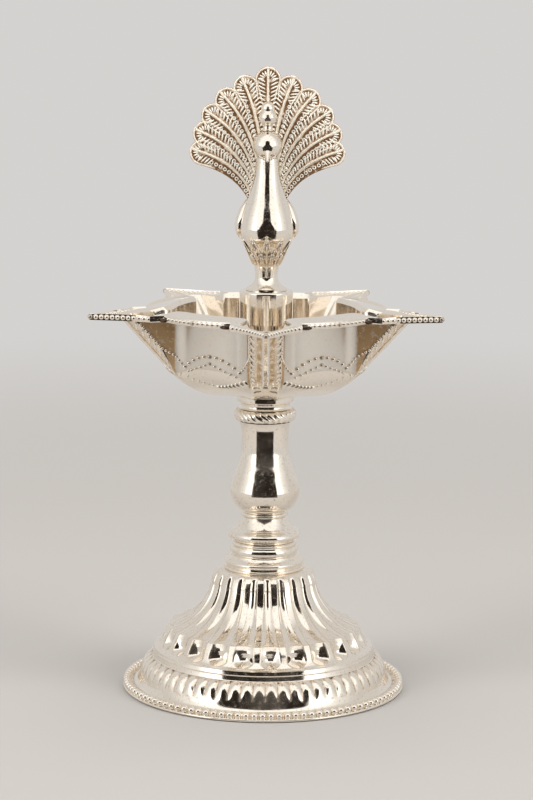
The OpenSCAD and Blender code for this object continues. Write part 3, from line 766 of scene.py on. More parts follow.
@dataclass(frozen=True)
class SealFibre:
    """Dark, oil-soaked fibre of the sealing washers."""

    name: str
    pale: Tone = (0.075, 0.05, 0.038)
    dark: Tone = (0.035, 0.024, 0.018)

    def material(self, effects: Effects) -> Material:
        """Builds the finish from the shared effects."""
        paint = Paint(self.name)
        where = paint.where()
        specks = paint.placed(effects.specks, Vector=where, Scale=2400.0, Share=0.7)
        rub = paint.placed(effects.polish, Vector=where, Smooth=0.6, Dull=0.85)
        tone = paint.tinted(specks["Mask"], self.pale, self.dark)
        return paint.dress(Base_Color=tone, Roughness=rub["Roughness"],
                           Normal=paint.bump(rub["Height"], 0.4, 0.0002))


# Sub-assemblies


def low(node: str) -> float:
    """Returns the lowest height of a node of the frame, in millimetres."""
    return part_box(node)[0].z / MM


def high(node: str) -> float:
    """Returns the greatest height of a node of the frame, in millimetres."""
    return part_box(node)[1].z / MM


def radius(node: str) -> float:
    """Returns the half width of a node of the frame along X, in millimetres."""
    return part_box(node)[1].x / MM


class Kit:
    """The geometry trees and the finishes that the sub-assemblies share."""

    def __init__(self) -> None:
        """Builds the trees and the finishes."""
        self.beads = BeadString()
        self.strokes = StrokeRow()
        self.copies = TurnedCopies()
        self.flutes = FluteRing()
        self.rings = RingRow()
        effects = Effects()
        finishes = {
            Slot.FOOT: SilverPlate("foot_silver_plate", gather=0.95),
            Slot.STEM: SilverPlate("stem_silver_plate"),
            # The bowl's pale tarnish and deepest tones keep the spouts' flanks tan: partly patina, partly a
            # painted reflection.
            Slot.BOWL: SilverPlate("bowl_silver_plate", haze=0.08, tarnish=(0.66, 0.47, 0.27),
                                   deepest=(0.52, 0.36, 0.2)),
            Slot.BIRD: SilverPlate("bird_silver_plate", haze=0.2),
            Slot.TAIL: SilverPlate("tail_silver_plate", plate=(1.0, 0.945, 0.83), tarnish=(0.38, 0.19, 0.06),
                                   deepest=(0.2, 0.098, 0.032), metallic=0.3, smooth=0.25, dull=0.38,
                                   gather=1.9, haze=0.12, spots=0.1),
            Slot.BRASS: BareMetal("aged_brass"),
            Slot.FIBRE: SealFibre("washer_fibre"),
        }
        self.finish = {slot: finish.material(effects) for slot, finish in finishes.items()}
        # Near-white, barely metallic plate for the tail's barbs and rings: partly polish wear on the raised
        # strokes, partly a painted highlight.
        rubbed = SilverPlate("rubbed_silver", plate=(1.0, 0.97, 0.89), metallic=0.2, smooth=0.22, dull=0.3,
                             haze=0.05, spots=0.05, flecks=0.2)
        # Near-black plate for the ear lobes: a painted dark reflection.
        painted_dark_reflection = SilverPlate("blackened_silver", plate=(0.07, 0.05, 0.04), haze=0.3)
        self.rubbed, self.painted_dark_reflection = rubbed.material(effects), painted_dark_reflection.material(effects)


@dataclass
class SubAssembly:
    kit: Kit
    body: ClassVar[Body]
    slot: ClassVar[Slot]

    @property
    def metal(self) -> Material:
        """The finish of the sub-assembly."""
        return self.kit.finish[self.slot]

    def hand_in(self, name: str, mesh: Mesh, *nodes: str) -> None:
        """Adds a finished mesh to the scene, on its body and in place of its nodes.

        Args:
            name: the piece's name.
            mesh: its mesh.
            nodes: the nodes of the frame that it stands for.
        """
        if not mesh.materials:
            mesh.materials.append(self.metal)
        piece = in_scene(name, mesh)
        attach(piece, self.body.value)
        if nodes:
            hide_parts(*nodes)
        LOG.info("%s: %d faces, on %s", name, len(mesh.polygons), self.body.value)

    def turn(self, name: str, profile: Line, bore: float, *nodes: str, columns: int = 180) -> None:
        """Turns a piece on the axis from its outside, closed along a bore.

        Args:
            name: the piece's name.
            profile: radii and heights from its foot up.
            bore: radius of the bore.
            nodes: the nodes of the frame that it stands for.
            columns: faces round the axis.
        """
        closed = outline(profile, [(bore, profile[-1][1]), (bore, profile[0][1])])
        mesh = grid_mesh(name, turned_grid(closed, columns), True, True)
        self.hand_in(name, tidy(mesh, crease=30.0), *nodes)

    def string(self, name: str, paths: list[Line], pitch: float, bead_r: float, closed: bool = False) -> None:
        """Strings beads along paths.

        Args:
            name: the piece's name.
            paths: lines of points.
            pitch: distance between two beads.
            bead_r: radius of a bead.
            closed: whether the paths are loops.
        """
        path = path_mesh(name, paths, closed)
        sizes = {"Pitch": pitch * MM, "Bead_radius": bead_r * MM}
        self.hand_in(name, self.kit.beads.run(path, **sizes, Material=self.metal))

    def stroke(self, name: str, strokes: list[Stroke], thickness: float, height: float,
               finish: Material | None = None) -> None:
        """Lays leaf-shaped strokes on a surface.

        Args:
            name: the piece's name.
            strokes: where each lies.
            thickness: half width of a stroke.
            height: half height of a stroke.
            finish: a finish other than the sub-assembly's own.
        """
        sizes = {"Thickness": thickness * MM, "Height": height * MM}
        points = stroke_mesh(name, strokes)
        self.hand_in(name, self.kit.strokes.run(points, **sizes, Material=finish or self.metal))


@dataclass
class Foot(SubAssembly):
    """The rim with its bead border, the fluted bell and the turned collar."""

    body: ClassVar[Body] = Body.FOOT
    slot: ClassVar[Slot] = Slot.FOOT
    columns: int = 620
    sheet: float = 0.9
    rim_t: float = 1.6
    rim_columns: int = 240
    bell_r: float = 38.8
    dome_h: float = 12.8
    dome_r: float = 34.2
    shoulder: Stations = ((33.5, 13.1), (32.7, 13.4), (31.9, 14.4), (31.1, 16.0), (30.4, 17.5))
    trumpet_foot: Pair = (29.5, 19.2)
    trumpet_top: Pair = (16.2, 34.0)
    top_r: float = 13.5
    spigot_r: float = 6.7
    flutes: int = 24
    flute_turn: float = 4.0
    flute_depth: float = 1.3
    sinks: Stations = ((0.0, 13.3), (1.1, 13.9), (2.0, 14.7), (2.05, 15.4), (1.6, 16.6), (1.15, 17.9),
                       (1.3, 19.4))
    scoop_top: float = 14.9
    scoop_h: float = 1.6
    scoop_w: float = 1.25
    rib_width: float = 3.3
    petals: int = 62
    petal_turn: float = -3 * 360 / columns
    petal_span: Pair = (4.0, 9.9)
    petal_bulge: float = 0.85
    rim_beads: int = 106
    loop_share: float = 0.9999
    bead_r: float = 1.15
    bead_ring: float = 42.75

    def build(self) -> None:
        """Builds the pieces of the foot."""
        self.build_rim()
        self.build_bell()
        self.build_collar()

    def build_rim(self) -> None:
        """Turns the rim plate and strings the bead border on it."""
        edge, ring_r = radius("foot_rim"), self.bead_ring
        inner, top = self.bell_r - 2.6, self.rim_t - 0.05
        outside = outline([(inner, 0.0), (edge - 0.5, 0.0)], arc((edge - 0.45, 0.42), 0.42, -90, 90, 8),
                          [(ring_r + 0.3, 1.0), (ring_r - 0.9, 1.3), (ring_r - 1.3, 1.75)],
                          arc((ring_r - 1.7, 1.6), 0.3, 40, 170, 5), [(self.bell_r + 0.6, top), (inner, top)])
        trough = 0.7 * ((outside[:, 1] > 1.2) & (outside[:, 0] < ring_r - 1.4))
        marks = {"recess": np.repeat(trough[:, None], self.rim_columns, 1)}
        mesh = grid_mesh("foot_rim_plate", turned_grid(outside, self.rim_columns), True, True, marks)
        self.hand_in("foot_rim_plate", tidy(mesh), "foot_rim")
        points = 4 * self.rim_beads
        ring = round_about(ring_r, np.arange(points) * 360 / points, self.rim_t + 0.05)
        pitch = self.loop_share * math.tau * ring_r / self.rim_beads
        self.string("foot_rim_beads", [ring], pitch, self.bead_r, True)

    def bell_rows(self) -> Line:
        """Works out the rows of the bell's outside, from the rim up.

        Returns:
            Radius, height, sink, rib_w, petal, petal_w and stain, a row each.
        """
        wide, base, rise = self.bell_r, self.rim_t, self.dome_h - self.rim_t
        band, brow = (self.dome_r + 0.5, self.dome_h - 2.8), (self.dome_r, self.dome_h)
        dome = bezier([(wide, base), (wide, base + 0.4 * rise),
                       (lerp(wide, band[0], 0.72), base + 0.66 * rise), band], np.linspace(0.13, 0.985, 40))
        dome = outline(dome, [between(band, brow, t, t) for t in np.linspace(0.05, 1, 14)])
        lip = smooth_line([(wide + 1.3, base + 0.1), (wide + 0.5, base + 0.4), tuple(dome[0])], 4)[:-1]
        flange = outline([(wide + 1.6, base + 0.02)], lip)
        foot, top = self.trumpet_foot, self.trumpet_top
        shoulder = smooth_line([*self.shoulder, foot], 8)[:-1]
        trumpet = bezier([foot, between(foot, top, 0.5, 0.12), between(foot, top, 0.93, 0.5), top],
                         np.linspace(0, 1, 40))
        bell_h = high("foot_bell")
        crown = smooth_line([top, (15.5, 35.9), (14.6, 37.0), (self.top_r, bell_h)], 4)[1:]
        r, z = outline(flange, dome, shoulder, trumpet, crown).T
        r = r + 0.09 * np.exp(-((z - self.dome_h + 1.05) / 0.16) ** 2)
        climb = np.clip((z - foot[1]) / (top[1] - foot[1]), 0, 1)
        fade = 1 - ease((z - bell_h + 1.8) / 1.6)
        depth = smooth_line(self.sinks, 6)
        sink = np.interp(z, depth[:, 1], depth[:, 0]) * lerp(1, 0.5, climb) * fade
        rib_w = np.clip(self.rib_width / (math.tau * r / self.flutes), 0.02, 0.8)
        rib_w = lerp(rib_w, self.scoop_w, np.clip((self.scoop_top - z) / self.scoop_h, 0, 1) ** 2)
        share = (z - self.petal_span[0]) / (self.petal_span[1] - self.petal_span[0])
        tip = np.clip((share - 0.7) / 0.3, 0, 1)
        arch = np.clip(share / 0.7, 0, 1) ** 1.25 * np.sqrt(1 - tip * tip)
        petal_w = np.maximum(0.5 * np.sqrt(1 - tip ** 3), 0.04)
        stain = 0.02 + 0.17 * np.clip(1 - climb / 0.32, 0, 1) * ease((z - 16.5) / 2)
        return np.stack([r, z, sink * MM, rib_w, self.petal_bulge * MM * arch, petal_w, stain], axis=1)

    def bell_lining(self) -> Line:
        """Returns the rows of the bell's inside, from its top down, without any pattern."""
        under = high("foot_bell") - self.sheet
        spine = smooth_line([(self.bell_r, self.rim_t), (38.0, 6.2), (36.2, 10.2), (33.6, 12.8), (30.4, 16.0),
                             (26.6, 20.2), (21.5, 24.6), (18.0, 29.4), self.trumpet_top], 3)
        line = spine + left_normals(spine) * (self.sheet + self.flute_depth * ease((spine[:, 1:] - 3) / 12))
        line[0] = (self.bell_r - self.sheet, self.rim_t + 0.02)
        rows = outline([(self.spigot_r, under), (self.top_r - self.sheet, under)], line[::-1])
        plain = np.tile([0.0, 0.5, 0.0, 0.5, 0.0], (len(rows), 1))
        return np.concatenate([rows, plain], axis=1)

    def build_bell(self) -> None:
        """Presses the flutes and petals into the turned bell."""
        shut = np.array([[self.spigot_r, high("foot_bell"), 0.0, 0.5, 0.0, 0.5, 0.0]])
        rows = np.concatenate([self.bell_rows(), shut, self.bell_lining()])
        keys = ("sink", "rib_w", "petal", "petal_w", "stain")
        marks = {key: np.repeat(rows[:, i + 2], self.columns) for i, key in enumerate(keys)}
        plain = grid_mesh("foot_bell_shell", turned_grid(rows[:, :2], self.columns), True, True, marks)
        turns = {"Flute_turn": math.radians(self.flute_turn), "Petal_turn": math.radians(self.petal_turn)}
        mesh = self.kit.flutes.run(plain, Flutes=self.flutes, Petals=self.petals, **turns,
                                   Material=self.metal)
        self.hand_in("foot_bell_shell", tidy(mesh, crease=50.0), "foot_bell")

    def build_collar(self) -> None:
        """Turns the collar with its rings."""
        z, wide, neck = high("foot_bell"), radius("foot_collar"), self.spigot_r - 0.2
        cove = smooth_line([(wide - 0.7, z + 3.2), (wide - 1.4, z + 3.9), (wide - 1.75, z + 4.5)], 4)
        profile = outline([(neck, low("foot_collar")), (neck, z), (wide - 0.2, z + 0.02)],
                          arc((wide - 0.45, z + 0.55), 0.5, -80, 80, 8),
                          [(wide - 0.75, z + 1.2)], arc((wide - 0.75, z + 2.4), 0.75, -75, 60, 10), cove,
                          [(wide - 2.3, z + 4.75)], arc((wide - 3.9, z + 6.1), 2.1, -36, 36, 12),
                          [(wide - 2.6, z + 7.45)], arc((wide - 2.9, z + 8.1), 0.55, -80, 85, 8),
                          [(wide - 3.2, low("stem_seal"))])
        self.turn("foot_collar_turned", profile, radius("stem_rod") + 0.05, "foot_collar")


@dataclass
class Stem(SubAssembly):
    """The knop, the baluster, the rope ring and the seat under the bowl."""

    body: ClassVar[Body] = Body.STEM
    slot: ClassVar[Slot] = Slot.STEM
    knop_bead: float = 1.3
    knop_dashes: int = 72
    ring_r: float = 7.2
    belly_h: float = 6.8
    waist_r: float = 7.25
    strands: int = 26
    strand_r: float = 1.02
    strand_slant: float = 13.0

    def build(self) -> None:
        """Builds the pieces of the stem."""
        self.bore = radius("stem_rod") + 0.05
        self.build_knop()
        self.build_baluster()
        self.build_rope()
        self.build_seat()

    def build_knop(self) -> None:
        """Turns the round knop, its hollow cone and the small ring, and mills the line under the knop."""
        z, top, wide = low("stem_knop"), high("stem_knop"), radius("stem_knop")
        bead = (wide - self.knop_bead, z + 0.3 + self.knop_bead)
        cone_top, ring_r = top - 1.5, self.ring_r
        cone = bezier([(bead[0], z + 3.05), (wide - 2.6, z + 3.3),
                       (ring_r + 0.4, lerp(z + 3.3, cone_top, 0.5)), (ring_r - 0.3, cone_top)],
                      np.linspace(0.12, 1, 16))
        skirt = [(wide - 2.7, z + 0.02), (wide - 2.7, z - 0.54), (wide - 2.0, z - 0.54),
                 (wide - 1.7, z + 0.1), (wide - 1.2, z + 0.25)]
        profile = outline(skirt, arc(bead, self.knop_bead, -50, 78, 16), cone,
                          arc((ring_r - 0.75, cone_top + 0.75), 0.75, -70, 85, 10), [(ring_r - 1.0, top)])
        self.turn("stem_knop_turned", profile, self.bore, "stem_knop")
        tilt = math.radians(-32)
        points = 4 * self.knop_dashes
        line = round_about(bead[0] + math.cos(tilt) + 0.24, np.arange(points) * 360 / points,
                           bead[1] + 1.3 * math.sin(tilt))
        self.string("stem_knop_dashes", [line], math.tau * (wide - 0.5) / self.knop_dashes, 0.2, True)

    def build_baluster(self) -> None:
        """Turns the vase-shaped baluster."""
        z, height = low("stem_baluster"), high("stem_baluster") - low("stem_baluster")
        foot, belly = (self.ring_r - 0.3, 0.0), (radius("stem_baluster"), self.belly_h)
        waist, top = (self.waist_r, lerp(self.belly_h, height, 0.66)), (self.waist_r + 1.0, height)
        stations = [foot, between(foot, belly, 0.62, 0.33), belly, between(belly, waist, 0.5, 0.42),
                    between(belly, waist, 0.88, 0.7), waist, between(waist, top, 0.1, 0.5),
                    between(waist, top, 0.36, 0.8), top]
        profile = smooth_line(stations, 10) + (0, z)
        self.turn("stem_baluster_turned", profile, self.bore, "stem_baluster")

    def build_rope(self) -> None:
        """Winds slanted strands round a plain core."""
        z, top, wide = low("rope_ring"), high("rope_ring"), radius("rope_ring")
        core = wide - 1.5
        bulge = arc((core - 0.6, (z + top) / 2), 0.5 * (top - z) - 0.1, -80, 80, 12)
        profile = outline([(core - 0.9, z + 0.02)], bulge, [(core - 0.9, top - 0.02)])
        self.turn("rope_ring_core", profile, self.bore, "rope_ring")
        lean = np.radians(np.linspace(-74, 74, 13))
        half = 0.5 * (top - z) - self.strand_r * 0.55
        middle_r = wide - self.strand_r - half * 0.55
        slant = -self.strand_slant * np.sin(lean) / math.sin(1.3)
        spine = round_about(middle_r + half * 0.55 * np.cos(lean), slant, (z + top) / 2 + half * np.sin(lean))
        taper = self.strand_r * np.sqrt(np.clip(1.02 - (np.abs(lean) / lean[-1]) ** 6, 0.0, 1.0))
        outward = unit(spine * (1, 1, 0))
        side = np.cross(tangents(spine), outward)
        a = np.linspace(0, math.tau, 9)[:-1, None]
        section = np.cos(a) * outward[:, None] + np.sin(a) * side[:, None]
        strand = grid_mesh("strand", spine[:, None] + section * taper[:, None, None], False, True)
        made = self.kit.copies.run(tidy(strand, 60.0), Copies=self.strands, Material=self.metal)
        self.hand_in("rope_ring_strands", made)

    def build_seat(self) -> None:
        """Turns the cove and the plain collar that carries the bowl."""
        z, top, wide = low("bowl_seat"), high("bowl_seat"), radius("bowl_seat")
        collar = top - 2.1
        cove = arc((wide + 0.25, lerp(z, collar, 0.52)), 1.35, 232, 142, 12)
        profile = outline([(wide - 0.6, z + 0.02)], cove, [(wide - 0.5, collar)],
                          arc((wide - 0.35, collar + 0.45), 0.35, -70, 0, 5),
                          arc((wide - 0.3, top - 0.3), 0.3, 0, 90, 5))
        self.turn("bowl_seat_turned", profile, self.bore, "bowl_seat")


@dataclass
class Bowl(SubAssembly):
    """The pressed bowl with five spouts and its bead borders, and the pedestal in it."""

    body: ClassVar[Body] = Body.BOWL
    slot: ClassVar[Slot] = Slot.BOWL
    spouts: int = 5
    tip_r: float = 56.1
    edge_r: float = 37.2
    lip_w: float = 10.7
    ear_reach: float = 40.1
    lip_dip: float = 0.9
    slot_column: float = 1.02
    well_r: float = 28.6
    panel_rise: float = 1.1
    spout_w: float = 4.9
    keel_reach: float = 45.8
    depth: float = 26.2
    crease_h: float = 10.2
    crease_arch: float = 2.6
    rim_fall: float = 1.2
    seat_r: float = 10.0
    sheet: float = 0.9
    edge_h: float = 2.0
    hole_r: float = 4.35
    band_column: float = 0.6
    band_share: float = 0.88
    band_depth: float = 2.6
    root_fillet: Pair = (1.7, 0.3)
    rib_w: float = 1.0
    rib_h: float = 0.45
    groove: float = 0.3
    upper_arch: tuple[float, float, float, float] = (14.4, 4.1, 20.5, 2.0)
    lower_arch: tuple[float, float, float, float] = (12.2, 3.35, 18.0, 1.1)
    rim_bead: Pair = (1.6, 0.72)
    lip_bead: Pair = (1.55, 0.82)
    upper_bead: Pair = (2.05, 0.68)
    lower_bead: Pair = (1.75, 0.58)
    keel_bead: Pair = (1.25, 0.52)
    keel_leaf: Pair = (0.42, 0.4)
    scroll: Pair = (0.52, 0.5)
    ear_lobe: Pair = (0.9, 0.62)
    keel_foot: Stations = ((10.4, 13.4), (12.8, 11.5), (15.2, 10.5))
    crease_level: float = 0.625
    channel_mark: float = 1.2
    strip_mark: float = 0.5
    # Tan on the spouts' flanks: partly tarnish, partly a painted reflection.
    flank_patina_and_reflection: float = 2.1
    flank_satin: float = 2.0
    # A little brown over the bowl's whole inside: partly tarnish, partly painted shade.
    inside_patina_and_shade: float = 0.1
    pedestal_r: float = 8.3
    pedestal_bore: float = 2.55

    def __post_init__(self) -> None:
        """Works out the height and the angles that the rest follows."""
        self.base = low("bowl")
        self.sector = 360 / self.spouts
        self.slot_angle = math.degrees(math.asin(self.lip_w / self.edge_r))
        self.root_angle = math.degrees(math.asin(self.spout_w / self.well_r))

    def build(self) -> None:
        """Builds the pieces of the bowl."""
        self.build_shell()
        self.build_edge()
        self.build_panels()
        self.build_flanks()
        self.build_pedestal()

    def keel_at(self, level: Line) -> Line:
        """Returns the keel's reach and height at levels from 0, the seat, to 1, the rim."""
        r, gap = self.seat_r, self.keel_reach - self.seat_r
        return bezier([(r, 0.0), (r + 0.39 * gap, 0.3), (r + 0.535 * gap, 0.24 * self.depth),
                       (self.keel_reach, self.depth - self.rim_fall)], level)

    def well_at(self, level: Line) -> Line:
        """Returns the well's radius, height and arch at levels from 0 to 1."""
        level = np.asarray(level, float)
        foot, gap = self.seat_r, self.well_r - self.seat_r
        below = np.clip(level / self.crease_level, 0, 1)
        dish = bezier([(foot, 0.0), (foot + 0.5 * gap, 0.2), (foot + 0.84 * gap, 0.4 * self.crease_h),
                       (self.well_r - 0.2, self.crease_h)], below)
        up = np.clip((level - self.crease_level) / (1 - self.crease_level), 0, 1)
        r = np.where(up > 0, self.well_r, dish[:, 0])
        z = np.where(up > 0, lerp(self.crease_h, self.depth, up), dish[:, 1])
        arch = self.crease_arch * np.where(up > 0, 1 - up, below)
        return np.stack([r, z, arch], axis=1)

    def wall(self, level: Line, column: Line, inset: float = 0.0) -> Line:
        """Works out points of the wall of one half sector.

        Args:
            level: levels from 0, the seat, to 1, the rim.
            column: places from 0, the keel, over 1, the spout's root, to 2, the middle of the panel.
            inset: distance of the face inside the outer one.

        Returns:
            Levels by columns by three: across the spout, along it and up.
        """
        level, column = np.asarray(level, float), np.asarray(column, float)
        keel, well = self.keel_at(level), self.well_at(level)
        if inset:
            keel = keel + left_normals(keel) * inset * lerp(1.0, 1.5, level)[:, None]
            well[:, :2] += left_normals(well[:, :2]) * inset
        middle, root_a = math.radians(self.sector / 2), math.radians(self.root_angle)
        angle = lerp(root_a, middle, np.clip(column - 1, 0, 1))
        off = ((middle - angle) / (middle - root_a)) ** 2
        fillet = self.root_fillet[0] * np.clip(1 - (column - 1) / self.root_fillet[1], 0, 1) ** 2
        rise = self.panel_rise / self.well_r
        r = well[:, :1] * (1 + rise * off) + fillet * ease((level[:, None] - 0.5) / 0.2)
        panel = np.stack([r * np.sin(angle), r * np.cos(angle), well[:, 1:2] - well[:, 2:] * off], axis=-1)
        root_r = well[:, 0] * (1 + rise) + self.root_fillet[0] * ease((level - 0.5) / 0.2)
        root_h = well[:, 1] - well[:, 2]
        root = np.stack([root_r * math.sin(root_a), root_r * math.cos(root_a), root_h], axis=1)
        ahead = self.keel_at(level + 0.01) - self.keel_at(level - 0.01)
        outward = unit(np.stack([ahead[:, 1], -ahead[:, 0]], axis=1))
        relief = ease((level - 0.42) / 0.16)[:, None] * (0.0 if inset else 1.0)
        flank = self.flank(keel, root, np.clip(column, 0, 1)[None], outward * relief)
        return np.where((column <= 1)[None, :, None], flank, panel)

    def flank(self, keel: Line, root: Line, column: Line, outward: Line) -> Line:
        """Works out points of a spout's flank: a rounded underside with a rib along it, then a steep side.

        Args:
            keel: reach and height of the keel, a level a row.
            root: point of the spout's root, a level a row.
            column: places from 0, the keel, to 1, the root.
            outward: direction out of the keel, as long as the share of the rib's height that shows.

        Returns:
            Levels by columns by three: across the spout, along it and up.
        """
        turn = np.clip(column / self.band_column, 0, 1) * np.pi / 2
        side = np.clip((column - self.band_column) / (1 - self.band_column), 0, 1)
        across = root[:, :1] * lerp(self.band_share * np.sin(turn), 1, side)
        gap = root[:, 1:] - keel
        span = np.linalg.norm(gap, axis=1, keepdims=True) + 1e-6
        back = lerp(np.minimum(self.band_depth, 0.45 * span) * (1 - np.cos(turn)), span, side) / span
        rib_w = self.rib_w + 2.2 * np.exp(-keel[:, 1:] / 2.6)
        rib = self.rib_h * np.exp(-(across / rib_w) ** 8)
        rib -= self.groove * np.exp(-((across - rib_w - 0.75) / 0.5) ** 2) * np.clip(span / 4, 0, 1)
        return np.stack([across, keel[:, :1] + gap[:, :1] * back + outward[:, :1] * rib,
                         keel[:, 1:] + gap[:, 1:] * back + outward[:, 1:] * rib], axis=-1)

    def edge(self, column: Line) -> Line:
        """Returns the bowl's edge at columns from 0, a lip's tip, over 1, its ear, to 2, the rim's middle."""
        column = np.asarray(column, float)
        fall = self.tip_r - self.ear_reach
        ear = np.array([self.lip_w, self.ear_reach])
        lip = bezier([(0.0, self.tip_r), (0.28 * self.lip_w, self.tip_r - 0.4 * fall),
                      (0.65 * self.lip_w, self.tip_r - 0.87 * fall), ear], np.clip(column, 0, 1))
        angle = np.radians(lerp(self.slot_angle, self.sector / 2,
                                np.clip((column - self.slot_column) / (2 - self.slot_column), 0, 1)))
        rim = self.edge_r * np.stack([np.sin(angle), np.cos(angle)], axis=-1)
        slot = lerp(ear, rim, np.clip((column - 1) / (self.slot_column - 1), 0, 1)[:, None])
        return np.where((column <= 1)[:, None], lip, slot)

    def all_round(self, half: Line) -> Line:
        """Mirrors rows of half a sector and turns them round the axis.

        Args:
            half: rows by columns by three, from a keel to the middle of a panel.

        Returns:
            Rows by all columns by three.
        """
        whole = np.concatenate([half[:, :0:-1] * (-1, 1, 1), half], axis=1)[:, 1:]
        turned = [self.turned(whole, spout, 1, self.base) for spout in range(self.spouts)]
        return np.concatenate(turned, axis=1)

    def every_column(self, half: Line) -> Line:
        """Returns values for all columns of the bowl from those of half a sector."""
        return np.tile(np.concatenate([half[:0:-1], half])[1:], self.spouts)

    def sheet_columns(self) -> Line:
        """Returns the columns of half a sector, closest together at the keel and at the spout's root."""
        return np.concatenate([np.linspace(0, 0.3, 17), np.linspace(0.34, 1, 20), [self.slot_column],
                               np.linspace(1.05, 1.28, 8), np.linspace(1.32, 2, 28)])

    def flange(self, share: Line, lift: Line) -> Line:
        """Works out rows of the flange.

        Args:
            share: shares of the way from the wall to the edge, a row each.
            lift: lifts above the flange's underside, a row each.

        Returns:
            Rows by columns by three.
        """
        column = self.sheet_columns()
        rim, edge = self.wall(np.array([1.0]), column)[0], self.edge(column)
        rows = []
        for s, up in zip(share, lift):
            dip = self.lip_dip * (1 - s) * ease((1.1 - column) / 0.3)
            height = lerp(rim[:, 2], self.depth - self.rim_fall, s) - dip + up
            rows.append(np.column_stack([lerp(rim[:, :2], edge, s), height]))
        return np.array(rows)

    def build_shell(self) -> None:
        """Presses the bowl: dished bottom, five spouts, sloping rim and rolled edge."""
        column = self.sheet_columns()
        spans = ((0, 0.6, 24), (0.61, 0.64, 5), (0.67, 0.99, 16))
        levels = np.concatenate([np.linspace(*span) for span in spans])
        outer = self.wall(levels, column)
        inner = self.wall(levels[::2], column, self.sheet)[::-1]
        mid, roll = 0.5 * self.sheet, 0.5 * (self.edge_h - self.sheet)
        turn = np.radians(np.linspace(-80, 80, 7))
        share = np.concatenate([np.linspace(0.02, 0.92, 9), 0.965 + 0.035 * np.cos(turn),
                                np.linspace(0.92, 0.04, 9)])
        lift = np.concatenate([np.zeros(9), mid + (mid + roll) * np.sin(turn), np.full(9, self.sheet)])
        seat = np.degrees(np.arctan2(outer[0, :, 0], outer[0, :, 1]))
        hole = [round_about(self.hole_r, seat, z)[None] * (1, -1, 1) for z in (0.0, self.sheet)]
        points = self.all_round(np.concatenate([hole[0], outer, self.flange(share, lift), inner, hole[1]]))
        on_flank = ease((column - self.band_column) / 0.05)
        dulled = self.every_column(np.where(column > 1.04, 1.0, self.flank_satin * on_flank))
        channel = self.channel_mark * ease((column - 0.075) / 0.03) * (1 - ease((column - 0.2) / 0.05))
        strip = self.strip_mark * ease((column - 0.2) / 0.05) * (1 - ease((column - 0.54) / 0.05))
        # The flank's tan is partly tarnish and partly a painted reflection.
        browned = channel + strip + self.flank_patina_and_reflection * on_flank
        brown = self.every_column(np.where(column <= 1, browned, 0.0))
        first, last = 1, 1 + len(levels)
        satin, recess = np.zeros(points.shape[:2]), np.zeros(points.shape[:2])
        satin[first:last] = np.where(levels > 0.63, 1.0, 0.0)[:, None] * dulled
        recess[first:last] = ease((levels[:, None] - 0.5) / 0.12) * brown
        # The inside of the bowl is browned a little: partly tarnish, partly painted shade.
        recess[last + len(share):-1] = self.inside_patina_and_shade
        mesh = grid_mesh("bowl_shell", points, True, True, {"satin": satin, "recess": recess})
        self.hand_in("bowl_shell", tidy(mesh, crease=35.0), "bowl")

    def turned(self, half: Line, spout: int, side: int, lift: float = 0.0) -> Line:
        """Turns points or directions of half a sector to one side of a spout, and lifts them."""
        a = math.radians(spout * self.sector)
        x, y = side * half[..., 0], -half[..., 1]
        across, along = x * math.cos(a) - y * math.sin(a), x * math.sin(a) + y * math.cos(a)
        return np.stack([across, along, half[..., 2] + lift], axis=-1)

    def sides(self) -> list[tuple[int, int]]:
        """Returns every spout with each of its two sides."""
        return [(spout, side) for spout in range(self.spouts) for side in (-1, 1)]

    def patch(self, level: float, column: float) -> tuple[Line, Line, Line, Line]:
        """Returns a point of the wall with the unit directions up it, away from the keel and out of it."""
        step = 0.004
        near = self.wall(np.array([level - step, level + step]), np.array([column - step, column + step]))
        up, away = unit(near[1].mean(0) - near[0].mean(0)), unit(near[:, 1].mean(0) - near[:, 0].mean(0))
        return near.mean((0, 1)), up, away, unit(np.cross(up, away))

    def panel_point(self, angle: float, height: float) -> Line:
        """Returns a point on the upper panel, by its angle from the spout and its height above the seat."""
        across = (self.sector / 2 - angle) / (self.sector / 2 - self.root_angle)
        drop = self.crease_arch * across ** 2
        up = (height - self.crease_h + drop) / (self.depth - self.crease_h + drop)
        return self.wall(np.array([lerp(self.crease_level, 1, max(up, 0.0))]), np.array([2 - across]))[0, 0]

    def build_edge(self) -> None:
        """Strings beads along the lips and the rim, and sets a smooth lobe at each ear, painted near black as
        a painted dark reflection.
        """
        z = self.base + self.depth - self.rim_fall + 0.5 * self.sheet
        rim, lips, lobes = [], [], []
        spans = ((lips, np.linspace(0.0, 0.93, 60), 0.45), (rim, np.linspace(1.2, 2.0, 40), 0.15))
        a = math.radians(self.slot_angle + 1.4)
        ear, along = np.array([math.sin(a), math.cos(a), 0.0]), np.array([math.cos(a), -math.sin(a), 0.0])
        upright = np.array([0.0, 0.0, 1.0])
        for spout, side in self.sides():
            for paths, span, inset in spans:
                edge = self.edge(span)
                flat = edge * (1 - inset / np.linalg.norm(edge, axis=1, keepdims=True))
                paths.append(self.turned(np.column_stack([flat, np.zeros(len(span))]), spout, side, z))
            at = self.turned(ear * (self.edge_r + 1.0), spout, side, z - 0.3)
            lobes.append(Stroke(at, self.turned(along, spout, side), upright, 1.9))
        self.string("bowl_rim_beads", rim, *self.rim_bead)
        self.string("bowl_lip_beads", lips, *self.lip_bead)
        # The ear lobes take the near-black plate: a painted dark reflection.
        self.stroke("bowl_ear_lobes", lobes, *self.ear_lobe, self.kit.painted_dark_reflection)

